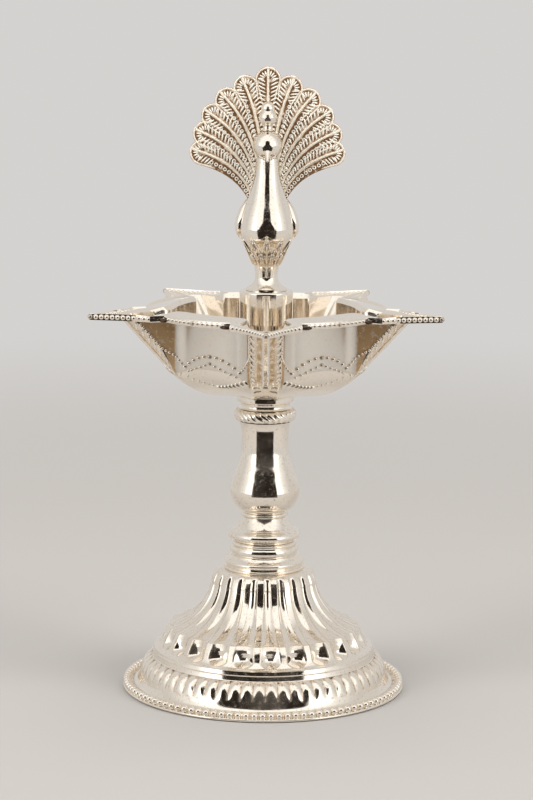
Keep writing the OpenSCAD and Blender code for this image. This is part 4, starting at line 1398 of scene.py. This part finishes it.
    def build_panels(self) -> None:
        """Strings the double arch of beads on each panel and a finer line beside each keel."""
        upper, lower, lines = [], [], []
        for spout, side in self.sides():
            for paths, (top, drop, span, power) in ((upper, self.upper_arch), (lower, self.lower_arch)):
                half = [self.panel_point(self.sector / 2 - a, top - drop * (a / span) ** power)
                        for a in np.linspace(0, span, 24)]
                paths.append(self.turned(np.array(half), spout, side, self.base))
            corner = self.wall(np.linspace(0.96, 0.8, 5), np.array([self.band_column]))[:, 0]
            foot = [self.panel_point(a, h) for a, h in self.keel_foot]
            lines.append(self.turned(smooth_line([*corner, *foot], 6), spout, side, self.base))
        self.string("bowl_upper_beads", upper, *self.upper_bead)
        self.string("bowl_lower_beads", lower, *self.lower_bead)
        self.string("bowl_keel_beads", lines, *self.keel_bead)

    def build_flanks(self) -> None:
        """Lays slanted leaf strokes beside each keel and a scroll under each panel."""
        leaves, scrolls = [], []
        for spout, side in self.sides():
            for level in np.arange(0.56, 0.93, 0.046):
                at, _, _, out = self.patch(level + 0.025, 0.38)
                along = self.patch(level + 0.05, 0.5)[0] - self.patch(level, 0.26)[0]
                leaves.append(self.laid(spout, side, at, unit(along), out, 0.52 * np.linalg.norm(along)))
            for angle in np.arange(1.6, 25.0, 3.3):
                level = self.crease_level * (0.65 + 0.33 * (angle / 25) ** 2)
                at, up, away, out = self.patch(level, 2 - angle / (self.sector / 2 - self.root_angle))
                scrolls.append(self.laid(spout, side, at, 0.8 * away + 0.6 * up, out, 1.2))
        self.stroke("bowl_keel_leaves", leaves, *self.keel_leaf)
        self.stroke("bowl_scrolls", scrolls, *self.scroll)

    def laid(self, spout: int, side: int, at: Line, along: Line, out: Line, reach: float) -> Stroke:
        """Returns a stroke on the wall, from its place and directions in half a sector.

        Args:
            spout: the number of the spout.
            side: -1 for its left side, 1 for its right one.
            at: the stroke's middle.
            along: the stroke's direction.
            out: the way out of the wall.
            reach: the stroke's half length.

        Returns:
            The stroke.
        """
        ways = (self.turned(way, spout, side) for way in (along, out))
        return Stroke(self.turned(at, spout, side, self.base), *ways, reach)

    def build_pedestal(self) -> None:
        """Turns the pedestal that clamps the bowl and carries the bird."""
        z, top, r = low("pedestal"), high("pedestal"), self.pedestal_r
        foot = smooth_line([(r + 0.4, z + 1.1), (r + 0.1, z + 1.8), (r, z + 3.0)], 4)
        lines = [(r - (0.06 if k % 2 else 0.0), z + 18.5 + 0.35 * k) for k in range(8)]
        profile = outline([(r + 0.5, z + 0.02), (r + 0.5, z + 0.8)], foot, lines, [(r, top - 0.9)],
                          arc((r - 0.6, top - 0.6), 0.6, 0, 90, 8))
        self.turn("pedestal_turned", profile, self.pedestal_bore, "pedestal")


@dataclass
class Peacock(SubAssembly):
    """The bird's body with its beak and leaves, its crest and its wings."""

    body: ClassVar[Body] = Body.FINIAL
    slot: ClassVar[Slot] = Slot.BIRD
    height: float = 48.0
    foot_r: float = 6.3
    ankle: Pair = (3.5, 3.4)
    breast: Pair = (8.2, 18.6)
    neck_r: float = 3.5
    head_r: float = 4.5
    back_reach: float = 6.6
    cup: Pair = (7.2, 15.2)
    wing_h: float = 13.0
    wing_w: float = 7.0
    wing_t: float = 1.9
    wing_slope: float = 12.0
    leaves: int = 10
    leaf_stroke: Pair = (0.4, 0.58)
    bib_stroke: Pair = (0.32, 0.3)
    crest_balls: Pair = (2.8, 2.1)

    def __post_init__(self) -> None:
        """Works out the outline that the leaves and wings follow."""
        self.z = low("peacock_body")
        self.head_h = self.height - self.head_r + 0.3
        ankle, breast = self.ankle, self.breast
        throat = (self.neck_r, self.head_h - self.head_r)
        self.curve = smooth_line([
            ankle, between(ankle, breast, 0.09, 0.25), between(ankle, breast, 0.36, 0.5),
            between(ankle, breast, 0.68, 0.66), between(ankle, breast, 0.92, 0.81), breast,
            between(breast, throat, 0.16, 0.2), between(breast, throat, 0.64, 0.52),
            between(breast, throat, 0.9, 0.78), (throat[0], throat[1] + 0.6)], 12)

    def build(self) -> None:
        """Builds the pieces of the bird."""
        self.build_body()
        self.build_beak()
        self.build_leaves()
        self.build_crest()
        for side, name in ((-1, "left"), (1, "right")):
            self.build_wing(side, name)

    def width(self, h: float | Line) -> float | Line:
        """Returns the body's radius at heights above the foot."""
        return np.interp(h, self.curve[:, 1], self.curve[:, 0])

    def build_body(self) -> None:
        """Turns the foot, breast, neck and head, and flattens the back for the tail."""
        foot, ankle = (self.foot_r, 0.0), self.ankle
        flare = bezier([(self.foot_r, 0.1), between(foot, ankle, 0.46, 0.18), between(foot, ankle, 0.97, 0.6),
                        ankle], np.linspace(0, 0.96, 12))
        start = math.degrees(math.asin(np.clip((self.curve[-1, 1] - self.head_h) / self.head_r, -1, 1)))
        head = arc((0, self.head_h), self.head_r, start + 6, 68, 26)
        skirt = [(2.6, 0.02), (5.35, 0.02), (5.35, -0.54), (self.foot_r, -0.54)]
        profile = outline(skirt, flare, self.curve, head, [(0.6, self.height - 0.02)])
        grid = turned_grid(profile + (0, self.z), 160)
        below_head = grid[..., 2] < self.z + self.head_h - self.head_r
        grid[..., 1] = np.where(below_head, np.minimum(grid[..., 1], self.back_reach), grid[..., 1])
        step = 360 / self.leaves
        off = np.abs((np.degrees(np.arctan2(grid[..., 0], -grid[..., 1])) + step / 2) % step - step / 2)
        h = grid[..., 2] - self.z
        room = 15.5 * np.clip((self.cup[1] - h) / (self.cup[1] - lerp(*self.cup, 0.5)), 0, 1)
        cup = 0.8 * ease((h - self.cup[0]) / 1.5) * ease((room - off) / 4)
        mesh = grid_mesh("peacock_body_cast", grid, True, True, {"recess": cup})
        self.hand_in("peacock_body_cast", tidy(mesh, crease=40.0), "peacock_body")

    def build_beak(self) -> None:
        """Points the small beak down in front of the head and folds the bib under it."""
        lean = math.radians(33)
        ahead = np.array([0.0, -math.cos(lean), -math.sin(lean)])
        across, up = np.array([1.0, 0, 0]), np.array([0.0, -math.sin(lean), math.cos(lean)])
        share = np.linspace(0, 1, 10)
        thick = lerp(1.5, 0.28, share ** 0.8)
        spine = np.array([0, 0, self.z + self.head_h]) + ahead * (self.head_r - 1.0 + 4.0 * share)[:, None]
        spine -= np.array([0, 0, 0.5]) * (share ** 2)[:, None]
        a = np.linspace(0, math.tau, 17)[:-1]
        ring = np.cos(a)[None, :, None] * across + 1.1 * np.sin(a)[None, :, None] * up
        points = spine[:, None] + ring * thick[:, None, None]
        caps = [np.repeat(spine[:1, None], 16, 1), points, np.repeat(spine[-1:, None] + ahead * 0.15, 16, 1)]
        self.hand_in("peacock_beak", tidy(grid_mesh("peacock_beak", np.concatenate(caps), False, True), 60.0))
        bib = []
        for side in (-1, 1):
            for k in range(3):
                angle = np.array([side * (5.0 + 13 * k), side * (18.0 + 13 * k)])
                h = np.array([self.head_h - 4.6 + 0.35 * k, self.head_h - 3.7 + 0.35 * k])
                r = np.sqrt(np.maximum(self.head_r ** 2 - (h - self.head_h) ** 2, self.neck_r ** 2)) + 0.05
                a, b = round_about(r, angle, self.z + h)
                bib.append(Stroke((a + b) / 2, unit(b - a), (a * (1, 1, 0)) / r[0], 0.75))
        self.stroke("peacock_bib", bib, *self.bib_stroke)

    def build_leaves(self) -> None:
        """Lays a cup of ten leaves round the lower breast, each with a midrib and side veins."""
        strokes = []
        foot, tip = self.cup
        bulge = lerp(foot, tip, 0.5)
        runs = [((0.0, foot + 0.4), (0.0, tip - 0.6))]
        for side in (-1, 1):
            corner = (side * 15.5, bulge)
            runs += [((side * 13.5, foot + 0.2), corner), (corner, (side * 2.0, tip + 0.3))]
            for k in (0.2, 0.5):
                runs.append(((side * 2.5, lerp(foot, tip, k)), (side * 9.0, lerp(foot, tip, k + 0.24))))
        for middle in np.arange(self.leaves) * 360 / self.leaves:
            for ends in runs:
                lower, upper = (round_about(self.width(h) + 0.05, np.array([middle + a]), self.z + h)[0]
                                for a, h in ends)
                at, along = (lower + upper) / 2, upper - lower
                if at[1] < self.back_reach - 0.5:
                    reach = 0.55 * np.linalg.norm(along)
                    strokes.append(Stroke(at, unit(along), unit(at * (1, 1, 0)), reach))
        self.stroke("peacock_leaves", strokes, *self.leaf_stroke)

    def build_crest(self) -> None:
        """Turns the crest's collar and its two balls."""
        z = low("peacock_crest")
        r_low, r_high = self.crest_balls
        ball = z + 1.4 + r_low
        top = ball + r_low + r_high - 2.2
        profile = outline([(1.7, z + 0.02)], arc((1.35, z + 0.4), 0.38, -80, 80, 6),
                          [(1.5, z + 0.9), (1.45, z + 1.5)],
                          arc((0, ball), r_low, -58, 44, 26), arc((0, top), r_high, -18, 86, 22))
        self.turn("peacock_crest_turned", profile, 0.12, "peacock_crest", columns=96)

    def build_wing(self, side: int, name: str) -> None:
        """Shapes a leaf-shaped wing that hugs the side of the breast.

        Args:
            side: -1 for the left wing, 1 for the right one.
            name: the word for that side.
        """
        span = np.linspace(0, 1, 41)
        round_r = (self.wing_h ** 2 / 4 + self.wing_w ** 2 / 4) / self.wing_w
        v = (span - 0.5) * self.wing_h
        half = np.sqrt(np.maximum(round_r ** 2 - v ** 2, 0)) - (round_r - self.wing_w / 2)
        c = np.linspace(0, math.tau, 33)[:-1]
        slope = math.radians(self.wing_slope)
        middle_y, middle_h = self.back_reach - 1 - self.wing_w / 2, self.breast[1] + 2.8
        across = half[:, None] * np.cos(c)[None]
        y = middle_y + across * math.cos(slope) + v[:, None] * math.sin(slope)
        h = middle_h + v[:, None] * math.cos(slope) - across * math.sin(slope)
        swell = np.clip(np.sin(c), 0, 1)[None] ** 0.75 * np.sqrt(np.clip(half / half.max(), 0, 1))[:, None]
        reach = self.width(h) + 0.06 + (self.wing_t - 0.06) * swell
        x = side * np.sqrt(np.maximum(reach ** 2 - y ** 2, 0.2))
        mesh = grid_mesh(f"peacock_wing_{name}_leaf", np.stack([x, y, h + self.z], axis=-1), False, True)
        self.hand_in(f"peacock_wing_{name}_leaf", tidy(mesh, 50.0), f"peacock_wing_{name}")


@dataclass
class Tail(SubAssembly):
    """The fan of feathers, with its midribs, barbs and rows of rings."""

    body: ClassVar[Body] = Body.FINIAL
    slot: ClassVar[Slot] = Slot.TAIL
    pairs: int = 5
    step: float = 15.0
    centre_h: float = 35.6
    reach: float = 27.6
    side_reach: float = 20.6
    lobe_r: float = 4.0
    root_h: float = 27.0
    plate_t: float = 1.2
    front: float = 6.6
    tongue_w: float = 4.2
    tongue_foot: float = 14.0
    blade_across: tuple[float, ...] = (0.03, 0.06, 0.085, 0.11, 0.2, 0.32, 0.46, 0.6, 0.72, 0.8, 0.86, 0.9,
                                       0.94, 0.97, 1.0)
    rim_h: float = 0.42
    rib_h: float = 0.6
    rib_w: float = 0.34
    seam_mark: float = 1.3
    upper_mark: float = 0.6
    blade_rows: int = 40
    cap_rows: int = 14
    barb: Pair = (0.28, 0.5)
    ring_pitch: float = 1.5
    ring_r: float = 0.46
    wire_r: float = 0.21

    def __post_init__(self) -> None:
        """Works out the bird's foot and numbers the feathers from left to right."""
        self.z = low("peacock_body")
        self.feathers = range(-self.pairs, self.pairs + 1)

    def build(self) -> None:
        """Builds the pieces of the tail."""
        self.build_blades()
        self.build_barbs()
        self.build_rings()

    def line(self, i: int, t: Line) -> Line:
        """Returns the middle line of a feather, as x and height above the bird's foot."""
        t = np.asarray(t, float)[:, None]
        reach = lerp(self.reach, self.side_reach, (abs(i) / self.pairs) ** 0.9)
        a = math.radians(i * self.step)
        tip = np.array([reach * math.sin(a), self.centre_h + reach * math.cos(a)])
        root = np.array([0.75 * i, self.root_h - 0.5 * abs(i)])
        bend = np.array([1.3 * i, lerp(root[1], tip[1], 0.62 + 0.022 * abs(i))])
        return (1 - t) ** 2 * root + 2 * t * (1 - t) * bend + t * t * tip

    def half_width(self, t: Line) -> Line:
        """Returns the half width of a feather along its middle line."""
        return lerp(0.9, self.lobe_r, np.asarray(t, float) ** 0.8)

    def front_of(self, i: int) -> float:
        """Returns the depth of a feather's face; the middle one lies in front."""
        return self.front - 0.1 - 0.08 * (self.pairs - abs(i))

    def in_plane(self, flat: Line, depth: float | Line) -> Line:
        """Returns points of the fan's plane in space."""
        depth = np.broadcast_to(depth, flat.shape[:-1])
        return np.stack([flat[..., 0], depth, flat[..., 1] + self.z], axis=-1)

    def build_blades(self) -> None:
        """Casts the feathers: a rim, a hollow and a raised midrib on each, and the tongue behind the bird."""
        reach = np.array(self.blade_across)
        across = np.concatenate([-reach[::-1], [0.0], reach])
        shares = np.linspace(0, 1, self.blade_rows)
        t = np.concatenate([shares, np.ones(self.cap_rows)])
        cap = np.concatenate([np.zeros(self.blade_rows), np.radians(np.linspace(6, 90, self.cap_rows))])
        blades = []
        for i in self.feathers:
            spine, ahead = self.line(i, t), tangents(self.line(i, shares))
            ahead = np.concatenate([ahead, np.repeat(ahead[-1:], self.cap_rows, 0)])
            side = np.stack([ahead[:, 1], -ahead[:, 0]], axis=1)
            spine = spine + ahead * (self.lobe_r * np.sin(cap))[:, None]
            half = np.maximum(self.half_width(t) * np.cos(cap), 0.02)
            flat = spine[:, None] + side[:, None] * (across[None] * half[:, None])[..., None]
            off = np.abs(across)[None] * half[:, None]
            from_middle = np.hypot(off, self.lobe_r * np.sin(cap)[:, None])
            edge = np.minimum(half[:, None] - off, self.lobe_r - from_middle)
            tipward = ease((t - 0.72) / 0.2)[:, None]
            rim = self.rim_h * np.exp(-((edge - 0.32) / 0.26) ** 2) * tipward
            spread = np.clip(half / 1.2, 0, 1)[:, None]
            rib = self.rib_h * np.exp(-(off / self.rib_w) ** 4) * np.where(cap > 0, np.cos(cap), 1.0)[:, None]
            relief = spread * np.maximum(rim, rib) * np.clip(edge / 0.1, 0, 1)
            depth = self.front_of(i) - relief
            back = self.front + self.plate_t - 0.05 * abs(i) - (0.025 if i < 0 else 0.0)
            face = self.in_plane(flat, depth)
            behind = self.in_plane(flat[:, [-1, 0]], back)
            grid = np.concatenate([face, behind], axis=1)
            start = np.repeat(self.in_plane(spine[:1], back - 0.3)[:, None], grid.shape[1], 1)
            seam = self.seam_mark * np.clip(1 - edge / lerp(0.5, 0.12, tipward), 0, 1)
            bold = np.where(across * i < 0, self.upper_mark, 1.0)[None]
            ground = np.maximum(seam, bold * np.clip(1 - relief / 0.25, 0, 1))
            hollow = np.concatenate([ground * spread, np.zeros((len(t), 2))], axis=1)
            marks = {"recess": np.concatenate([np.zeros((1, grid.shape[1])), hollow])}
            blades.append(grid_mesh(f"feather_{i}", np.concatenate([start, grid]), False, True, marks))
        blades.append(self.tongue())
        self.hand_in("tail_feathers", joined("tail_feathers", blades), "tail_fan")

    def tongue(self) -> Mesh:
        """Returns the plate behind the bird that carries the feathers."""
        a = np.radians(np.linspace(0, 360, 49)[:-1])
        middle, half_h = (self.tongue_foot + self.root_h + 3) / 2, (self.root_h + 3 - self.tongue_foot) / 2
        corner = np.abs(np.cos(a)) ** 0.5 * np.sign(np.cos(a)), np.abs(np.sin(a)) ** 0.5 * np.sign(np.sin(a))
        rim = np.stack([self.tongue_w * corner[0], middle + half_h * corner[1]], axis=-1)
        core = np.broadcast_to(np.array([0.0, middle]), rim.shape)
        front, back = self.front + 0.02, self.front + self.plate_t + 0.04
        rows = [self.in_plane(*row) for row in ((core, front), (rim, front), (rim, back), (core, back))]
        return grid_mesh("tongue", np.array(rows), False, True, {"recess": np.zeros((4, 48))})

    def build_barbs(self) -> None:
        """Lays the barbs on both sides of each midrib and fans them out in the round tips."""
        strokes = []
        out = np.array([0.0, -1.0, 0.0])
        t = np.linspace(0.12, 1.0, 23)
        for i in self.feathers:
            spine, half = self.line(i, t), self.half_width(t)
            ahead = tangents(spine)
            depth = self.front_of(i) - 0.02
            laid = []
            for p, d, w, share in zip(spine, ahead, half, t):
                for sign in (-1, 1):
                    lower_half = sign * i > 0
                    if lower_half and share < 0.86:
                        continue
                    side = sign * np.array([d[1], -d[0]])
                    laid.append((p + side * w * 0.5, side * 0.9 + d * 0.44, 0.36 * w))
            x, z = ahead[-1]
            for turn in np.radians(np.linspace(-80, 80, 9)):
                c, s = math.cos(turn), math.sin(turn)
                ray = np.array([x * c + z * s, z * c - x * s])
                laid.append((spine[-1] + ray * 2.1, ray, 0.95))
            strokes += [Stroke(self.in_plane(at, depth), np.array([along[0], 0, along[1]]), out, reach)
                        for at, along, reach in laid]
        # The barbs take the near-white plate: polish wear with a painted highlight.
        self.stroke("tail_barbs", strokes, *self.barb, self.kit.rubbed)

    def build_rings(self) -> None:
        """Sets a row of tiny rings along the lower half of each side feather."""
        paths = []
        t = np.linspace(0.1, 0.86, 30)
        for i in self.feathers:
            if i:
                spine, half = self.line(i, t), self.half_width(t)
                ahead = tangents(spine)
                side = np.sign(i) * np.stack([ahead[:, 1], -ahead[:, 0]], axis=1)
                paths.append(self.in_plane(spine + side * (0.52 * half)[:, None], self.front_of(i) - 0.1))
        sizes = {"Pitch": self.ring_pitch * MM, "Ring_radius": self.ring_r * MM,
                 "Wire_radius": self.wire_r * MM}
        # The rings take the near-white plate: polish wear with a painted highlight.
        mesh = self.kit.rings.run(path_mesh("tail_rings", paths, False), **sizes, Material=self.kit.rubbed)
        self.hand_in("tail_rings", mesh)


@dataclass
class Fixings:
    """The nodes of the frame that show as they are, in the lamp's finishes."""

    kit: Kit
    brass: tuple[str, ...] = ("foot_washer", "foot_nut", "stem_rod", "finial_stud", "tail_rivets")
    fibre: tuple[str, ...] = ("stem_seal", "bowl_seal", "finial_seal")

    def build(self) -> None:
        """Puts the finishes on the nodes."""
        for names, slot in ((self.brass, Slot.BRASS), (self.fibre, Slot.FIBRE)):
            for name in names:
                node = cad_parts[name]
                node.data.materials.clear()
                node.data.materials.append(self.kit.finish[slot])
                LOG.info("%s: node of the frame, in %s", name, slot.value)


# Studio


@dataclass
class Studio:
    """A plain pale floor and backdrop, soft light, the sheets that metal mirrors and the camera."""

    backdrop: Tone = (0.66, 0.645, 0.63)
    soft_tone: Tone = (1.0, 0.98, 0.95)
    soft_level: float = 0.35
    floor_tone: Tone = (0.46, 0.448, 0.436)
    floor_r: float = 3.0
    floor_fade: Pair = (0.25, 0.8)
    gap_half: float = 42.0
    gap_span: Pair = (27.0, 43.0)
    box_near: float = 1.1
    box_far: float = 0.62
    box_tone: Tone = (1.0, 0.985, 0.955)
    spot_at: Pair = (51.0, 0.0)
    spot_wide: Pair = (20.0, 4.0)
    spot_high: Pair = (38.0, 8.0)
    spot_gain: float = 0.9
    gap_tone: Tone = (0.022, 0.017, 0.013)
    cloth_span: Pair = (190.0, 2910.0)
    tent_r: float = 3100.0
    tent_half: float = 105.0
    tent_rise: Pair = (-4.0, 89.0)
    card_r: float = 115.0
    card_span: Pair = (146.0, 300.0)
    card_gap: Pair = (33.0, 17.0)
    lamp_tone: Tone = (1.0, 0.97, 0.93)
    eye: Triple = (0.0, -0.820, 0.228948)
    lens: float = 121.057
    pitch: float = 9.5947
    roll: float = 0.5
    shift: float = 0.0014

    def build(self) -> None:
        """Sets up the floor, the world, the sheets that metal mirrors, the lamps and the camera."""
        self.build_floor()
        self.build_world()
        self.build_tent()
        self.build_cloth()
        self.build_cards()
        self.build_lamps()
        self.build_camera()
        bpy.context.scene.view_settings.view_transform = "Standard"

    def build_floor(self) -> None:
        """Lays the pale floor, which fades into the backdrop far from the lamp."""
        mesh = bpy.data.meshes.new("floor")
        made = bmesh.new()
        bmesh.ops.create_circle(made, cap_ends=True, segments=96, radius=self.floor_r)
        bmesh.ops.translate(made, verts=made.verts, vec=(0, 0, -0.0002))
        made.to_mesh(mesh)
        made.free()
        paint = Paint("floor_paint")
        where = paint.where()
        mottle = paint.add("ShaderNodeTexNoise", {"Vector": where, "Scale": 9.0, "Detail": 3.0})
        tone = paint.tinted(mottle.outputs["Fac"], self.floor_tone, tuple(0.97 * c for c in self.floor_tone))
        paint.dress(Base_Color=tone, Roughness=0.7, Specular_IOR_Level=0.1)
        away = paint.add("ShaderNodeVectorMath", {0: where}, operation="LENGTH")
        fade = paint.ramp(away.outputs["Value"], *self.floor_fade, soft=True)
        far = paint.glow((*self.backdrop, 1.0), 1.0)
        mix = paint.add("ShaderNodeMixShader", {0: fade, 1: paint.shader.outputs[0], 2: far.outputs[0]})
        mesh.materials.append(paint.show(mix))
        floor = in_scene("floor", mesh)

    def build_world(self) -> None:
        """Makes the world: a pale backdrop that the camera and metal see, and an even soft light."""
        world = bpy.data.worlds.new("studio")
        bpy.context.scene.world = world
        world.use_nodes = True
        nodes = NodeTree(world.node_tree)
        nodes.tree.nodes.clear()
        plain, soft = (nodes.add("ShaderNodeBackground", {"Color": (*tone, 1.0), "Strength": level})
                       for tone, level in ((self.backdrop, 1.0), (self.soft_tone, self.soft_level)))
        path = nodes.add("ShaderNodeLightPath").outputs
        mirrored = nodes.number("MAXIMUM", path["Is Glossy Ray"], path["Is Transmission Ray"])
        seen = nodes.number("MAXIMUM", mirrored, path["Is Camera Ray"])
        ends = nodes.add("ShaderNodeMixShader", {0: seen, 1: soft.outputs[0], 2: plain.outputs[0]})
        nodes.add("ShaderNodeOutputWorld", {"Surface": ends.outputs[0]})

    def build_tent(self) -> None:
        """Hangs a light tent round the front: two wide soft boxes and a dark opening where the camera is."""
        paint = Paint("tent_cloth")
        way = paint.add("ShaderNodeVectorMath", {0: paint.where()}, operation="NORMALIZE").outputs[0]
        x, y, z = paint.add("ShaderNodeSeparateXYZ", {0: way}).outputs
        turned = paint.number("ABSOLUTE", paint.number("ARCTAN2", x, paint.number("MULTIPLY", y, -1.0)))
        azimuth = paint.number("MULTIPLY", turned, 180 / math.pi)
        height = paint.number("MULTIPLY", paint.number("ARCSINE", z), 180 / math.pi)
        closing = paint.ramp(height, *self.gap_span, soft=True)
        narrowing = paint.number("MULTIPLY_ADD", closing, -self.gap_half - 4, self.gap_half)
        beside = paint.ramp(paint.number("SUBTRACT", azimuth, narrowing), -2.0, 2.0, soft=True)
        fall = paint.ramp(azimuth, self.gap_half + 8, self.tent_half, soft=True)
        level = paint.number("MULTIPLY_ADD", fall, self.box_far - self.box_near, self.box_near)
        aside, above = (paint.number("ABSOLUTE", paint.number("SUBTRACT", angle, middle))
                        for angle, middle in zip((azimuth, height), self.spot_at))
        spot = paint.number("MULTIPLY", paint.ramp(aside, *self.spot_wide, soft=True),
                            paint.ramp(above, *self.spot_high, soft=True))
        level = paint.number("MULTIPLY_ADD", spot, self.spot_gain, level)
        strength = paint.number("MULTIPLY_ADD", beside, paint.number("SUBTRACT", level, 1.0), 1.0)
        tone = paint.tinted(beside, self.gap_tone, self.box_tone)
        turn = np.linspace(-self.tent_half, self.tent_half, 71)
        rows = [round_about(self.tent_r * math.cos(a), turn, self.tent_r * math.sin(a))
                for a in np.radians(np.linspace(*self.tent_rise, 32))]
        self.unseen("light_tent", rows, paint.show(paint.glow(tone, strength)))

    def build_cloth(self) -> None:
        """Lays a dark cloth on the floor in front, which only polished metal mirrors."""
        paint = Paint("dark_cloth")
        turn = np.linspace(-self.gap_half, self.gap_half, 25)
        rows = [round_about(r, turn, -0.1) for r in self.cloth_span]
        self.unseen("dark_cloth", rows, paint.show(paint.glow((*self.gap_tone, 1.0), 1.0)))

    def build_cards(self) -> None:
        """Stands two soft panels beside the bird, which only polished metal mirrors."""
        paint = Paint("card_paper")
        paper = paint.show(paint.glow((*self.box_tone, 1.0), self.box_near))
        for side, name in ((-1, "left_card"), (1, "right_card")):
            rows = []
            for share in np.linspace(0, 1, 13):
                inner = lerp(*self.card_gap, ease(share * 4))
                across = side * np.linspace(inner, self.gap_half + 4, 9)
                rows.append(round_about(self.card_r, across, lerp(*self.card_span, share)))
            self.unseen(name, rows, paper)

    def unseen(self, name: str, rows: list[Line], material: Material) -> None:
        """Adds a sheet of the studio that only polished metal mirrors.

        Args:
            name: the sheet's name.
            rows: its points, a row each.
            material: its finish.
        """
        mesh = grid_mesh(name, np.array(rows), False, False)
        mesh.materials.append(material)
        sheet = in_scene(name, mesh)
        for kind in ("camera", "diffuse", "shadow", "transmission"):
            setattr(sheet, f"visible_{kind}", False)

    def build_lamps(self) -> None:
        """Hangs three soft lamps, which metal doesn't mirror because it already shows the soft boxes."""
        for name, place, size, power in (("left_lamp", (-1.2, -0.7, 1.0), 1.0, 18.5),
                                         ("right_lamp", (1.2, -0.6, 1.0), 1.0, 17.5),
                                         ("top_lamp", (0.0, 0.1, 1.6), 1.4, 13.0)):
            lamp = bpy.data.lights.new(name, "AREA")
            lamp.size = size
            lamp.energy = power
            lamp.color = self.lamp_tone
            holder = in_scene(name, lamp)
            holder.location = place
            holder.rotation_euler = (-Vector(place)).to_track_quat("-Z", "Y").to_euler()
            holder.visible_glossy = False

    def build_camera(self) -> None:
        """Sets up the camera where the photograph was taken from."""
        lens = bpy.data.cameras.new("camera")
        lens.lens = self.lens
        lens.sensor_width = 36.0
        lens.shift_x = self.shift
        lens.clip_start = 0.01
        camera = in_scene("camera", lens)
        tilt = Matrix.Rotation(math.radians(90 - self.pitch), 4, "X")
        roll = Matrix.Rotation(math.radians(self.roll), 4, "Z")
        camera.matrix_world = Matrix.Translation(self.eye) @ tilt @ roll
        bpy.context.scene.camera = camera


def main() -> None:
    """Builds the studio and the lamp's sub-assemblies, from the floor up."""
    logging.basicConfig(level=logging.INFO, format="%(name)s %(message)s")
    Studio().build()
    kit = Kit()
    for part in (Foot, Stem, Bowl, Peacock, Tail, Fixings):
        part(kit).build()


if __name__ == "__main__":
    main()
